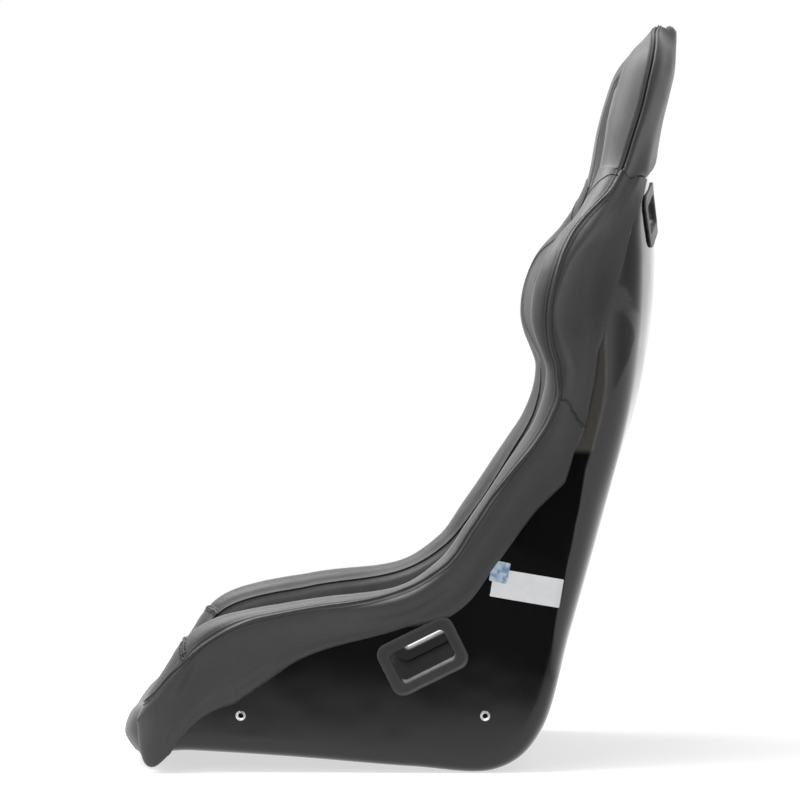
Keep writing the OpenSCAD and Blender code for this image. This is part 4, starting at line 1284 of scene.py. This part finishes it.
def slot_prism(name, low, high):
    place, (w, h) = SLOTS[name]
    gap = TUNNEL_WALL + FIT
    return rounded_outline(w + 2 * gap, h + 2 * gap, SLOT_RADIUS + gap), low, high, place


def bush_frame(side, y):
    return frame_of((side * FLANK, y, BUSH_Z), (0, side, 0), (0, 0, 1), (side, 0, 0))


circle = [((BUSH_OD / 2 + 0.3) * math.cos(a), (BUSH_OD / 2 + 0.3) * math.sin(a))
          for a in np.linspace(0, 2 * math.pi, 48, endpoint=False)]
holes = [(circle, -30, 30, bush_frame(side, y)) for side in (1, -1) for y in BUSH_Y]
shell_cutter = cutter(*(slot_prism(name, -24, 8) for name in SLOTS), *holes)
print("cutter faces:", len(shell_cutter.data.polygons))

# %% The shell
shell_rows = np.linspace(0, LAST, 260)
shell_columns = np.linspace(-RIM, RIM, 177)
outer_skin, inner_skin = outside(shell_rows, shell_columns, 0), inside(shell_rows, shell_columns, 0)
shell_skin = new_object("shell_skin", *two_skins(outer_skin, inner_skin), gelcoat)
shell_skin.data.materials.append(laminate)
faces_a_side = (len(shell_rows) - 1) * (len(shell_columns) - 1)
for number in range(faces_a_side, 2 * faces_a_side):
    shell_skin.data.polygons[number].material_index = 1
closed_up(shell_skin)
cut(shell_skin, shell_cutter)
print("shell:", len(shell_skin.data.polygons), "faces after the cut")

# %% Windows in the thigh covers
PLATE_POCKET = rounded_outline(32, 328, 6.5)        # round the steel plate, behind the cover
for side, word in SIDES:
    middle = frame_of((side * FLANK, sum(BUSH_Y) / 2, BUSH_Z),
                      (0, 0, -side), (0, 1, 0), (side, 0, 0))
    cut(panels["thigh_" + word], cutter(slot_prism("lap_" + word, -60, 8)))
    cut(panels["thigh_" + word], cutter((PLATE_POCKET, -12, -1, middle)))
print("thigh covers:", len(panels["thigh_left"].data.polygons), "faces after their windows")

# %% [markdown]
# ## Front apron
# A soft roll hangs over the front lip, under the sitter's knees. It is foam wrapped in vinyl
# and glued on, so its section is drawn: up the lip, over its edge and in to the floor.

# %% A closed pad between an outer grid and the grid it lies on
def filled(name, top, under, material, seams=()):
    """Closes two grids of the same size into one solid and presses seams into the top one."""
    normals, foam = grid_normals(top), top - under
    waves = 0.5 * np.minimum(1, np.linalg.norm(foam.reshape(-1, 3), axis=1) / 8)
    top = sewn(top, normals * np.sign((foam * normals).sum()), seams, waves)
    return closed_up(new_object(name, *two_skins(top, under), material))


print("pads can be filled")

# %% The apron
APRON_FOAM, APRON_EDGE, APRON_TURN, APRON_INSIDE = 33.0, 20.0, 19.0, 12.0


def apron_section(v, cover):
    """One section of the apron at column v: from under the lip, over it and inside."""
    foam = APRON_EDGE + (APRON_FOAM - APRON_EDGE) * (1 - abs(v / FLOOR) ** 4)
    end = 1 - 0.55 * abs(v / FLOOR) ** 14
    along = skin_normal([0.0], [v])[0, 0]
    out, inn = skin([0], [v])[0, 0], inside([0], [v], 0)[0, 0]
    up = unit(skin([0.0], [v]) - skin([0.25], [v]))[0, 0]
    points = [outside([u], [v], (share * foam * end) if cover else FIT)[0, 0]
              for u, share in ((2.35, 0.05), (2.15, 0.26), (1.75, 0.62), (1.0, 0.98), (0.0, 1.0))]
    for turn in (45, 90, 135):
        reach = APRON_TURN * end + (0.6 * (foam - APRON_EDGE) if turn == 45 else 0)
        a = math.radians(turn)
        points.append(out + (inn - out) * turn / 180
                      + (reach if cover else FIT) * (math.cos(a) * along + math.sin(a) * up))
    for u, share in ((0.15, 1.0), (0.8, 0.95), (1.25, 0.6), (1.42, 0.1)):
        points.append(inside([u], [v], share * APRON_INSIDE * end if cover else FIT)[0, 0])
    return points


apron_v = np.concatenate([[-3, -2.99, -2.965, -2.92], np.linspace(-2.86, 2.86, 89),
                          [2.92, 2.965, 2.99, 3]])
apron_t = np.linspace(0, 11, 68)
limit = float(skin([1], [FLOOR + CORNER])[0, 0, 0]) - 1
apron_grids = [curve_through(np.array([apron_section(v, cover) for v in apron_v]), apron_t)
               for cover in (True, False)]
for grid in apron_grids:
    grid[:, :, 0] = np.clip(grid[:, :, 0], -limit, limit)
apron_seams = [Seam(apron_grids[0][:, 47], depth=1.5, puff=0.5),
               Seam(apron_grids[0][:, 14], depth=1.2, puff=0.3, pucker=0)]
apron_skin = filled("front_apron_skin", *apron_grids, cover_vinyl, apron_seams)
print("apron:", len(apron_skin.data.polygons), "faces")

# %% [markdown]
# ## Pads between the bolsters
# The cushion, the lumbar pad, the back pad and the headrest are foam slabs in sewn covers. Real
# ones swell between their seams because the cover is cut a little small. A cloth simulation
# gives exactly that: a thin skin is blown up by a light pressure, while its underside and its
# sewn channels are held. It runs on a coarse grid, and a smooth curve through the swollen grid
# gives the fine one, so the channels and stitches stay crisp.

# %% Blow up a closed grid with cloth pressure
CAP = 9.0                       # most that a point may swell, in millimetres
FRAMES = 20
CLOTH = {"quality": 5, "mass": 0.35, "tension_stiffness": 18, "compression_stiffness": 18,
         "shear_stiffness": 8, "bending_stiffness": 0.6, "vertex_group_mass": "held",
         "use_pressure": True, "uniform_pressure_force": 4}


def swollen(top, under, held):
    """The top grid after a short cloth simulation; held marks points that are sewn down."""
    obj = closed_up(new_object("swelling", *two_skins(top, under)))
    pins = obj.vertex_groups.new(name="held")
    base = held.size
    pins.add([*range(base, 2 * base), *np.nonzero(held.ravel())[0].tolist()], 1.0, "REPLACE")
    cloth = obj.modifiers.new("cloth", "CLOTH")
    for name, value in CLOTH.items():
        setattr(cloth.settings, name, value)
    cloth.settings.effector_weights.gravity = 0
    cloth.collision_settings.use_collision = False
    scene = bpy.context.scene
    cloth.point_cache.frame_start, cloth.point_cache.frame_end = 1, FRAMES
    for number in range(1, FRAMES + 1):
        scene.frame_set(number)
    evaluated = obj.evaluated_get(bpy.context.evaluated_depsgraph_get())
    moved = np.array([p.co for p in evaluated.to_mesh().vertices])[:base] / MM - top.reshape(-1, 3)
    evaluated.to_mesh_clear()
    scene.frame_set(1)
    bpy.data.objects.remove(obj)
    size = np.linalg.norm(moved, axis=1, keepdims=True)
    moved = moved * np.minimum(1, CAP / np.maximum(size, 1e-6))
    print("  swelled by up to", round(float(size.max()), 1), "mm, mean",
          round(float(size.mean()), 1))
    return top + moved.reshape(top.shape)


print("cloth: pressure", CLOTH["uniform_pressure_force"], "and cap", CAP, "mm")

# %% The form of a pad
PAD_CLEARANCE = 6.0
CHANNEL_DEPTH, CHANNEL_REACH = 7.0, 5.0
FOOTPRINT = 0.97                # how much narrower a pad's underside is than its middle
SQUARENESS = 5                  # the power of the superellipse that rounds a pad's edges
FINER = 4                       # fine rows to one row of the cloth's grid
HOLE_DIP, HOLE_REACH = 9.0, 8.0         # how deep, and how far out, a pad dips at a strap's hole


def distance_to_slot(x, y, w, h):
    """How far a point in the slot's own plane is outside the slot (0 inside)."""
    return np.hypot(np.maximum(np.abs(x) - w / 2, 0), np.maximum(np.abs(y) - h / 2, 0))


def pillow(width, height, power, count):
    """Evenly spaced points of a superellipse: across from -1 to 1, and height from 0 to 1."""
    turn = np.linspace(-math.pi / 2, math.pi / 2, 2001)
    across = np.sign(np.sin(turn)) * np.abs(np.sin(turn)) ** (2 / power)
    up = np.abs(np.cos(turn)) ** (2 / power)
    arc = run_along(np.stack([across * width / 2, up * height], 1))
    even = np.linspace(0, arc[-1], count)
    return np.interp(even, arc, across), np.interp(even, arc, up)


def half_columns(u):
    """How many columns wide half of a pad is at row u, less its clearance from the bolsters."""
    x_floor = inside(u, [FLOOR], 0)[:, 0, 0]
    face = inside(u, [FLOOR + CORNER], 0)[:, 0, 0] - smooth_table(u, SIDE)
    return FLOOR * np.minimum(0.96, (face - PAD_CLEARANCE) / x_floor)


def upsampled(grid):
    """A finer grid on smooth curves through a coarse one."""
    for _ in range(2):
        last = grid.shape[1] - 1
        grid = curve_through(grid, np.linspace(0, last, last * FINER + 1)).transpose(1, 0, 2)
    return grid


def make_pad(name, first, last, base, thick, channels, step=9.0, hole=None):
    """A pad on the inner skin between two rows, with sewn channels across it."""
    u_line = np.linspace(first, last, 200)
    run = run_along(inside(u_line, [0.0], base)[:, 0])
    halfway = np.array([first / 2 + last / 2])
    wide = 2 * float(inside(halfway, half_columns(halfway), 0)[0, 0, 0])
    along, up_along = pillow(run[-1], thick, SQUARENESS, int((run[-1] + 2 * thick) / step))
    across, up_across = pillow(wide, thick, SQUARENESS, int((wide + 2 * thick) / step) // 2 * 2 + 1)
    here = (along + 1) / 2 * run[-1]
    u = np.interp(here, run, u_line)
    for row in channels:                # a grid row lies right on each channel
        u[np.argmin(np.abs(here - np.interp(row, u_line, run)))] = row
    v = half_columns(u)[:, None] * across[None, :]
    height = np.minimum(up_along[:, None], 1) * up_across[None, :]
    off = thick * height
    for row in channels:
        gap = np.interp(u, u_line, run) - np.interp(row, u_line, run)
        off = off - CHANNEL_DEPTH * np.exp(-(gap / CHANNEL_REACH) ** 2)[:, None] * height
    top = skin(u, v) - (SHELL_WALL + base + off[..., None]) * skin_normal(u, v)
    v = v * FOOTPRINT
    under = skin(u, v) - (SHELL_WALL + base) * skin_normal(u, v)
    held = np.zeros(top.shape[:2], bool)
    held[[0, -1]] = held[:, [0, -1]] = True
    sewn_rows = [int(np.argmin(np.abs(u - row))) for row in channels]
    held[sewn_rows] = True
    top, under = upsampled(swollen(top, under, held)), upsampled(under)
    if hole is not None:
        place, w, h = hole
        turned = np.array(place.inverted().to_3x3())
        local = (top - np.array(place.to_translation())) @ turned.T
        gap = distance_to_slot(local[..., 0], local[..., 1], w, h)
        dip = HOLE_DIP * np.exp(-(gap / HOLE_REACH) ** 2)
        top = top + dip[..., None] * np.array(place.to_3x3())[:, 2]
    lines = [Seam(top[row * FINER, 3 * FINER:-3 * FINER], depth=1.6, width=1.6, puff=0.8)
             for row in sewn_rows]
    inset = max(2, int(round(0.5 * thick / step))) * FINER
    ring = [top[inset, inset:-inset], top[inset:-inset, -inset - 1],
            top[-inset - 1, inset:-inset][::-1], top[inset:-inset, inset][::-1]]
    lines.append(Seam(np.concatenate(ring), depth=1.5, width=1.5, puff=0.6))
    obj = filled(name, top, under, pad_vinyl, lines)
    print(name, "faces:", len(obj.data.polygons), "height", round(thick), "mm")
    return obj, lines


print("superellipse of 21 points:", [round(float(x), 2) for x in pillow(300, 40, 5, 21)[0][:4]])

# %% [markdown]
# The crotch strap comes up through the cushion. The edge of its hole is sewn down, so the top
# dips towards it. The hole itself is cut with the same kind of cutter as the shell's slots.

# %% The four pads, and the hole in the cushion
BARE = 3.3                      # the strips under the lift-out cushion raise it
crotch_place = SLOTS["crotch"][0]
crotch_hole = (crotch_place, CROTCH_SIZE[0] + 2, CROTCH_SIZE[1] + 2)
cushion, cushion_seams = make_pad("seat_cushion_skin", 2.8, 10.3, BARE, 41.0, (5, 7.5),
                                  hole=crotch_hole)
cut(cushion, cutter((rounded_outline(crotch_hole[1], crotch_hole[2], 7), -90, 20, crotch_place)))
lumbar, lumbar_seams = make_pad("lumbar_pad_skin", 11.2, 16.95, 0.8, 32.0, (14,))
back_rest, back_seams = make_pad("back_pad_skin", 17.05, 22.6, 0.8, 24.0, (19, 21))
headrest = make_pad("headrest_pad_skin", 27.0, 29.95, BARE, 50.0, (), step=8.0)[0]

# %% [markdown]
# ## Belt guides
# Each belt opening is lined by two nylon mouldings that meet inside the wall: one from outside,
# one from inside. Their flanges have soft edges, which is where plastic catches the light. Each
# guide is one closed profile swept round the rounded slot. The flanges at the shoulders and the
# crotch follow the curved shell, so each point is lifted by the height of the skin under it.

# %% Profiles of the guides, and a sweep round a slot
def lifted_by(grid):
    """Height of a skin over a slot's own plane, found by a ray along the plane's normal."""
    rows, columns = grid.shape[:2]
    tree = BVHTree.FromPolygons(grid.reshape(-1, 3).tolist(), grid_faces(rows, columns))

    def height(place, x, y):
        start = place @ Vector((x, y, 60))
        hit = tree.ray_cast(start, place.to_3x3() @ Vector((0, 0, -1)), 120)
        return 0.0 if hit[0] is None else 60 - hit[3]
    return height


def guide_profile(flange_low, tunnel_low, bead):
    """(gap from the opening, height) round the section of a guide whose flange faces up."""
    top = flange_low + FLANGE_T
    return [(0, tunnel_low), (0, top - 1.3), (0.25, top - 0.7), (0.75, top - 0.22),
            (1.5, top), (3, top - 0.05), (8.5, top - 0.15), (11.4, top), (12.0, top + 0.6 * bead),
            (12.6, top + bead), (13.2, top + bead), (13.7, top + 0.55 * bead - 0.15),
            (FLANGE, top - 0.8), (FLANGE, flange_low + 0.4), (13.6, flange_low),
            (TUNNEL_WALL + 0.5, flange_low), (TUNNEL_WALL, flange_low - 0.4),
            (TUNNEL_WALL, tunnel_low)]


def tube(loops):
    """Points and faces of loops joined in a row, with the last one joined to the first."""
    n, m = len(loops), len(loops[0])
    last = (n - 1) * m
    faces = grid_faces(n, m, ring=True) \
        + [(last + j, last + (j + 1) % m, (j + 1) % m, j) for j in range(m)]
    return [p for loop in loops for p in loop], faces


def guide(name, slot_name, profile, height, flip):
    """Sweeps a profile round a slot. With flip the flange faces into the seat."""
    place, (w, h) = SLOTS[slot_name]
    loops = []
    for gap, z in profile:
        outline = rounded_outline(w + 2 * gap, h + 2 * gap, SLOT_RADIUS + 0.6 * gap, 12)
        lifts = [height(place, x, y) if height else 0.0 for x, y in outline]
        loops.append([tuple(place @ Vector((x, y, (-z if flip else z) + lift)))
                      for (x, y), lift in zip(outline, lifts)])
    points, faces = tube(loops)
    return closed_up(new_object(name, points, faces, bezel_plastic), sharp=62)


outer_height, inner_height = lifted_by(outer_skin), lifted_by(inner_skin)
print("guide profile:", len(guide_profile(0.2, -14, 0.8)), "points")

# %% Ten belt guides
LAP_SPLIT, SIDE_FACE = 186.0, 172.0     # where the lap guides meet; the foam's inner face
TUNNEL_GAP = 0.15                       # half of the gap where two guides meet in the wall


def thin_wall(bead):
    """The profile of a guide that meets its partner in the middle of the shell's wall."""
    return guide_profile(FIT / 2, TUNNEL_GAP - SHELL_WALL / 2, bead)


lap_outer = guide_profile(0.2, LAP_SPLIT + TUNNEL_GAP - FLANK, 0.8)
lap_inner = guide_profile(FLANK - SIDE_FACE + FIT, FLANK - LAP_SPLIT + TUNNEL_GAP, 0)
kinds = [("{}_outer_" + word, "lap", word, lap_outer, None, False) for side, word in SIDES]
kinds += [("{}_inner_" + word, "lap", word, lap_inner, None, True) for side, word in SIDES]
kinds += [("{}_rear_" + word, "shoulder", word, thin_wall(0.5), outer_height, False)
          for side, word in SIDES]
kinds += [("{}_front_" + word, "shoulder", word, thin_wall(0.4), inner_height, True)
          for side, word in SIDES]
kinds += [("{}_bottom", "crotch", "", thin_wall(0), outer_height, False),
          ("{}_top", "crotch", "", thin_wall(0), inner_height, True)]
guides = {}
for title, strap, word, profile, height, flip in kinds:
    slot_name = strap + "_" + word if word else strap
    guides[title.format(strap + "_bezel")] = guide(title.format(strap + "_guide"), slot_name,
                                                   profile, height, flip)
print("guides:", len(guides))

# %% [markdown]
# ## Mount bushes
# Each bush is turned from bar: a collar behind the plate, a round body through the wall, and an
# M8 thread. A thread is a spiral, so the bore's radius runs in a wave that climbs as it turns.

# %% Turned and threaded bushes
BORE, BORE_EDGE = 6.8, 0.9              # the bore, and how wide its chamfer is
COLLAR_IN, COLLAR_OUT, FACE_OUT = -11.3, -8.3, 0.8      # heights along the bush's axis
PITCH, THREAD_DEPTH = 1.25, 0.42
AROUND = 40
# (radius, height) down the outside, from the face to the collar's end
turned = [(BORE / 2 + BORE_EDGE, FACE_OUT), (5.3, FACE_OUT), (5.75, FACE_OUT - 0.12),
          (6.0, FACE_OUT - 0.5), (6.0, -3), (6.0, COLLAR_OUT + 0.05), (6.3, COLLAR_OUT),
          (10.4, COLLAR_OUT), (10.85, COLLAR_OUT - 0.15), (11.0, COLLAR_OUT - 0.55),
          (11.0, COLLAR_IN + 0.5), (10.6, COLLAR_IN), (BORE / 2 + BORE_EDGE, COLLAR_IN)]
share = np.arange(AROUND) / AROUND
rings = [([radius] * AROUND, z) for radius, z in turned]
for z in np.linspace(COLLAR_IN + 0.7, FACE_OUT - 0.7, 92):
    rings.append((BORE / 2 - THREAD_DEPTH / 2
                  + THREAD_DEPTH * np.abs(((z / PITCH - share) % 1) * 2 - 1), z))
turn = 2 * math.pi * share
bush_points, bush_faces = pieced([
    tube([[tuple(bush_frame(side, y) @ Vector((r * math.cos(a), r * math.sin(a), z)))
           for r, a in zip(ring, turn)] for ring, z in rings]) for side in (1, -1) for y in BUSH_Y])
bushes = closed_up(new_object("mount_bush_set", bush_points, bush_faces, bush_zinc), sharp=30)
print("bushes:", len(bush_faces), "faces")

# %% [markdown]
# ## Threads
# Each stitch is a short tube that dives into the vinyl at both ends. Two rows follow the long
# seam, and they are laid by the grids' own columns, which keeps them straight. The rows of the
# short seams and of the pads are laid on the nearest point of the finished cover.

# %% Sew the threads
SHADE_CORD_RADIUS = 0.75
cover_surface = surface_of(*panels.values(), head_skin)
# the seam marks are painted shade, stored on each cover for its vinyl
marks = seam_shade_marks(np.concatenate([grid.reshape(-1, 3) for grid in (raw[1], raw[-1], head_ring)]))
shaped_tree = tree_of(np.concatenate([grid.reshape(-1, 3)
                                      for grid in (shaped[1], shaped[-1], head_shaped)]))
for obj in (*panels.values(), head_skin):
    store_seam_shade(obj, shaped_tree, marks)


def beside(flat, lifted, normals):
    """The point at a stitch row's distance along a short line, and the normal there."""
    along = run_along(flat)
    return curve_at(lifted, along, STITCH_ROW), curve_at(normals, along, STITCH_ROW)


rows_of_stitches = []
for side in (1, -1):
    for step in (-1, 1):
        places = [(raw[side], shaped[side], cover_normals[side], k,
                   seam_numbers[side][0] + step * np.arange(10)) for k in range(1, len(raw[side]))]
        places += [(head_ring, head_shaped, head_normals, k, side * (head_numbers[0]
                    + step * np.arange(10)) % head_ring.shape[1]) for k in range(2, len(head_ring))]
        rows_of_stitches.append([beside(flat[k, columns], lifted[k, columns], normals[k, columns])
                                 for flat, lifted, normals, k, columns in places])
# along the top of the head the rows lie in front of the ridge and behind it
for half in (in_front, ~in_front):
    order = [j for j in np.nonzero(half)[0][np.argsort(ring_v[half])] if abs(ring_v[j]) < 10]
    rows_of_stitches.append([beside(
        np.concatenate([curve_at(ridge_line, ridge_v, ring_v[j])[None], head_ring[:-9:-1, j]]),
        np.concatenate([curve_at(ridge_shaped, ridge_v, ring_v[j])[None], head_shaped[:-9:-1, j]]),
        np.concatenate([TIP_UP[None], head_normals[:-9:-1, j]])) for j in order])


def shade_cord(seam):
    """A dark cord sunk in a short seam: painted shade, standing in for the shadow line between the
    turned-in edges of the two panels.
    """
    points, count, sides = [], int(seam.along[-1] / 2.5), 6
    for k in range(count + 1):
        s = seam.along[-1] * k / count
        before, here, ahead = seam.at(np.array([s - 1, s, s + 1]))
        near, normal = (np.array(part) for part in cover_surface.find_nearest(Vector(here))[:2])
        tangent = unit(ahead - before - normal * (ahead - before).dot(normal))
        across = np.cross(normal, tangent)
        shrink = 0.3 if k in (0, count) else 1.0
        middle = near + normal * (0.1 - 0.5 * (1 - shrink))
        points += [middle + SHADE_CORD_RADIUS * shrink * (math.cos(a) * across + math.sin(a) * normal)
                   for a in np.arange(sides) * 2 * math.pi / sides]
    return points, [*grid_faces(count + 1, sides, ring=True), range(sides)[::-1],
                    range(count * sides, (count + 1) * sides)]


rows = [thread_along(*(np.array(part) for part in zip(*line))) for line in rows_of_stitches]
rows += [thread(seam, cover_surface, offset) for seam in nose_seams
         for offset in (-STITCH_ROW, STITCH_ROW)]
# painted shade: dark cords in the short seams stand in for the shadow lines of their grooves
rows += [shade_cord(seam) for seam in (*nose_seams, *waist_seams, *neck_seams)]
threads = new_object("cover_threads_and_shade_cords", *pieced(rows), thread_yarn)
print("points of the threads:", len(threads.data.vertices))

# %% Threads of the pads and of the apron
def sewn_on(name, obj, seams):
    """Stitches on one pad, beside each of its seams."""
    surface = surface_of(obj)
    return new_object(name, *pieced([thread(seam, surface, offset) for seam in seams
                                     for offset in (-STITCH_ROW, STITCH_ROW)]), thread_yarn)


pad_threads = {"cushion": [sewn_on("seat_cushion_threads", cushion, cushion_seams[:2])],
               "seat": [sewn_on("lumbar_pad_threads", lumbar, lumbar_seams[:1]),
                        sewn_on("back_pad_threads", back_rest, back_seams[:2]),
                        sewn_on("front_apron_threads", apron_skin, apron_seams[:1])]}
print("threads of", sum(len(objs) for objs in pad_threads.values()), "pads")

# %% [markdown]
# ## Stickers
# Two blank stickers sit on the left flank: a white paper one and a small foil square. They
# follow the shell, so their points are lifted onto it, and each is a real sheet 0.25 mm thick.

# %% Blank stickers
shell_surface = surface_of(shell_skin)
# (share of the outline, height) from the middle of the underside round to the middle of the top
SHEET = [(0.0, 0.0), (0.5, 0.0), (1.0, 0.0), (1.0, 0.18), (0.995, 0.25),
         *((share, 0.25) for share in (0.8, 0.6, 0.4, 0.2, 0.0))]


def sticker(name, y, z, tilt, w, h, radius, material, under=0.02):
    """A thin sheet on the left flank, turned by tilt degrees; under is the gap below it."""
    a = math.radians(tilt)
    place = frame_of((FLANK, y, z), (0, math.cos(a), -math.sin(a)), (0, math.sin(a), math.cos(a)),
                     (1, 0, 0))
    points = []
    corners = np.array(rounded_outline(w, h, radius, 6))
    corners = np.concatenate([corners, corners[:1]])
    steps = run_along(corners)
    outline = [(np.interp(d, steps, corners[:, 0]), np.interp(d, steps, corners[:, 1]))
               for d in sorted({*np.round(steps[:-1], 6), *np.arange(0, steps[-1] - 0.5, 2.0)})]
    for scale, height in SHEET:
        for x, y_local in outline:
            x, y_local = x * scale, y_local * scale
            start = place @ Vector((x, y_local, 100))
            lift = shell_surface.ray_cast(start, Vector((-1, 0, 0)))[0].x - FLANK
            points.append(tuple(place @ Vector((x, y_local, lift + under + height))))
    obj = new_object(name, points, grid_faces(len(SHEET), len(outline), ring=True), material)
    bm = bmesh.new()
    bm.from_mesh(obj.data)
    bmesh.ops.remove_doubles(bm, verts=bm.verts, dist=1e-7)
    bmesh.ops.dissolve_degenerate(bm, edges=bm.edges, dist=1e-8)
    bm.to_mesh(obj.data)
    bm.free()
    return closed_up(obj, sharp=40)


label = sticker("blank_label", 152.2, 220.1, 9.8, 83.5, 34, 1.2, label_paper)
foil_square = sticker("foil_square", 120.1, 239.2, 11.7, 21.6, 24.9, 1.6, foil, under=0.3)
print("stickers:", len(label.data.polygons) + len(foil_square.data.polygons), "faces")

# %% [markdown]
# ## What rides on what
# The shell and all its covers are one body. The seat cushion lifts out, so it is another.

# %% Replace the frame's plain solids
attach(shell_skin, "seat")
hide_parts("shell")
for obj in (*panels.values(), head_skin):
    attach(obj, "seat")
for side, word in SIDES:
    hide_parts("nose_cover_" + word)
    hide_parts("thigh_bolster_" + word)
    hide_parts("wing_bolster_" + word)
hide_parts("head_cover")
for obj, node_name, body, fill in (
        (apron_skin, "front_apron", "seat", 0.9), (cushion, "seat_cushion", "cushion", 0.8),
        (lumbar, "lumbar_pad", "seat", 0.8), (back_rest, "back_pad", "seat", 0.8),
        (headrest, "headrest_pad", "seat", 0.85)):
    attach(obj, body)
    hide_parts(node_name)
for node_name, obj in guides.items():
    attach(obj, "seat")
    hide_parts(node_name)
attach(bushes, "seat")
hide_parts("mount_bushes")
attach(threads, "seat")
for body, objs in pad_threads.items():
    for obj in objs:
        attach(obj, body)
for obj in (label, foil_square):
    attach(obj, "seat")
print("covers, pads, guides and bushes ride on their bodies")

# %% Materials of the solids that stay
for node_name, paint in (("mount_plate_left", plate_paint), ("mount_plate_right", plate_paint),
                         ("loop_strips", strip_pile), ("hook_strips", strip_pile)):
    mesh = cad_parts[node_name].data
    mesh.materials.clear()
    mesh.materials.append(paint)
print("plates and strips painted")

# %% [markdown]
# ## Studio
# Black gloss shows the room, so the room matters as much as the lamps. Behind and around the
# seat all is white. In front of the flank there is a pale floor that ends, and then darkness.
# A large soft lamp hangs overhead and to the front, and does most of the lighting.

# %% Floor, world, lamps and camera
def light_path(tree):
    return tree.nodes.new("ShaderNodeLightPath").outputs


def emission(tree, strength):
    return node(tree, "Emission", {"Color": (1, 1, 1, 1), "Strength": strength}).outputs[0]


floor_paint = bpy.data.materials.new("studio floor")
floor_paint.use_nodes = True
tree = floor_paint.node_tree
tree.nodes.clear()
rays = light_path(tree)
spot = node(tree, "SeparateXYZ", {0: object_place(tree)}).outputs
paint = node(tree, "BsdfDiffuse", {"Color": (0.62, 0.62, 0.62, 1)}).outputs[0]
seen = node(tree, "AddShader", {0: paint, 1: emission(tree, 0.62)}).outputs[0]
near_light = maths(tree, "POWER", spread(tree, spot[0], 0.2, 1.6, 1.0, 0.2), 2.0)
# the dark part of the floor is a wedge in front of the flank, and to its sides it is bright
wedge = maths(tree, "SUBTRACT", maths(tree, "ABSOLUTE", spot[1]),
              maths(tree, "MULTIPLY", spot[0], 0.3))
sides = maths(tree, "MULTIPLY", spread(tree, wedge, 0.3, 0.65), 1.4)
# behind the seat the floor is darker too, so that the back shows as gloss
behind = maths(tree, "MULTIPLY", spread(tree, spot[1], 0.35, 0.9),
               spread(tree, maths(tree, "ABSOLUTE", spot[0]), 0.5, 1.0, 1.0, 0.0))
near_light = maths(tree, "MULTIPLY", near_light, maths(tree, "SUBTRACT", 1.0,
                                                       maths(tree, "MULTIPLY", behind, 0.85)))
shown = maths(tree, "MAXIMUM", maths(tree, "MULTIPLY", near_light, 1.25), sides)
# far from the seat the floor turns into the plain white of the backdrop
far = node(tree, "VectorMath", {0: object_place(tree)}, operation="LENGTH").outputs["Value"]
seen = node(tree, "MixShader", {0: spread(tree, far, 0.55, 1.5), 1: seen,
                                2: emission(tree, 1.0)}).outputs[0]
plain = node(tree, "MixShader", {0: rays["Is Camera Ray"], 1: paint, 2: seen}).outputs[0]
both = node(tree, "MixShader", {0: rays["Is Glossy Ray"], 1: plain,
                                2: emission(tree, shown)}).outputs[0]
output = tree.nodes.new("ShaderNodeOutputMaterial")
tree.links.new(both, output.inputs[0])
floor = new_object("studio_floor", [(-9000, -9000, -0.6), (9000, -9000, -0.6), (9000, 9000, -0.6),
                                    (-9000, 9000, -0.6)], [(0, 1, 2, 3)], floor_paint)

world = bpy.data.worlds.new("studio")
bpy.context.scene.world = world
world.use_nodes = True
tree = world.node_tree
tree.nodes.clear()
rays = light_path(tree)
towards = node(tree, "SeparateXYZ", {0: node(tree, "TexCoord").outputs["Generated"]}).outputs
dark_side = maths(tree, "MAXIMUM", spread(tree, towards[0], 0.91, 0.97),
                  spread(tree, towards[1], 0.4, 1.0, 0.0, 0.6))
mirror_light = maths(tree, "MULTIPLY", maths(tree, "SUBTRACT", 1.0, dark_side), 1.6)
soft_light = spread(tree, towards[0], -1.0, 1.0, 0.62, 0.29)
strength = node(tree, "Mix", {0: rays["Is Glossy Ray"], 2: soft_light, 3: mirror_light}).outputs[0]
strength = node(tree, "Mix", {0: rays["Is Camera Ray"], 2: strength, 3: 1.0}).outputs[0]
backdrop = node(tree, "Background", {"Color": (1, 1, 1, 1), "Strength": strength}).outputs[0]
output = tree.nodes.new("ShaderNodeOutputWorld")
tree.links.new(backdrop, output.inputs[0])


def softbox(name, place, aim, width, depth, power):
    lamp = bpy.data.lights.new(name, "AREA")
    lamp.shape, lamp.size, lamp.size_y, lamp.energy = "RECTANGLE", width, depth, power
    obj = bpy.data.objects.new(name, lamp)
    obj.location = place
    obj.rotation_euler = (Vector(aim) - Vector(place)).to_track_quat("-Z", "Y").to_euler()
    bpy.context.scene.collection.objects.link(obj)
    return obj


softbox("overhead_softbox", (0.1, -0.8, 2.1), (0, 0, 0.4), 1.8, 1.8, 80)
softbox("side_fill", (3.6, -2.2, 1.9), (0, 0, 0.4), 1.4, 1.4, 27)

CAMERA_PLACE = Vector((4.0, 0.041, 0.5585))
FOCAL_PIXELS, CENTRE_X, CENTRE_Y = 3217.0, 433.0, 302.0      # in an image 800 pixels wide
camera = bpy.data.cameras.new("camera")
camera.sensor_width = 36.0
camera.lens = 36.0 * FOCAL_PIXELS / 800
camera.clip_end = 60
camera_object = bpy.data.objects.new("camera", camera)
camera_object.location = CAMERA_PLACE
sight = Vector((-1, (400 - CENTRE_X) / FOCAL_PIXELS, (CENTRE_Y - 400) / FOCAL_PIXELS))
camera_object.rotation_euler = sight.to_track_quat("-Z", "Y").to_euler()
bpy.context.scene.collection.objects.link(camera_object)
bpy.context.scene.camera = camera_object
bpy.context.scene.view_settings.view_transform = "Standard"
print("lens:", round(camera.lens, 1), "mm")
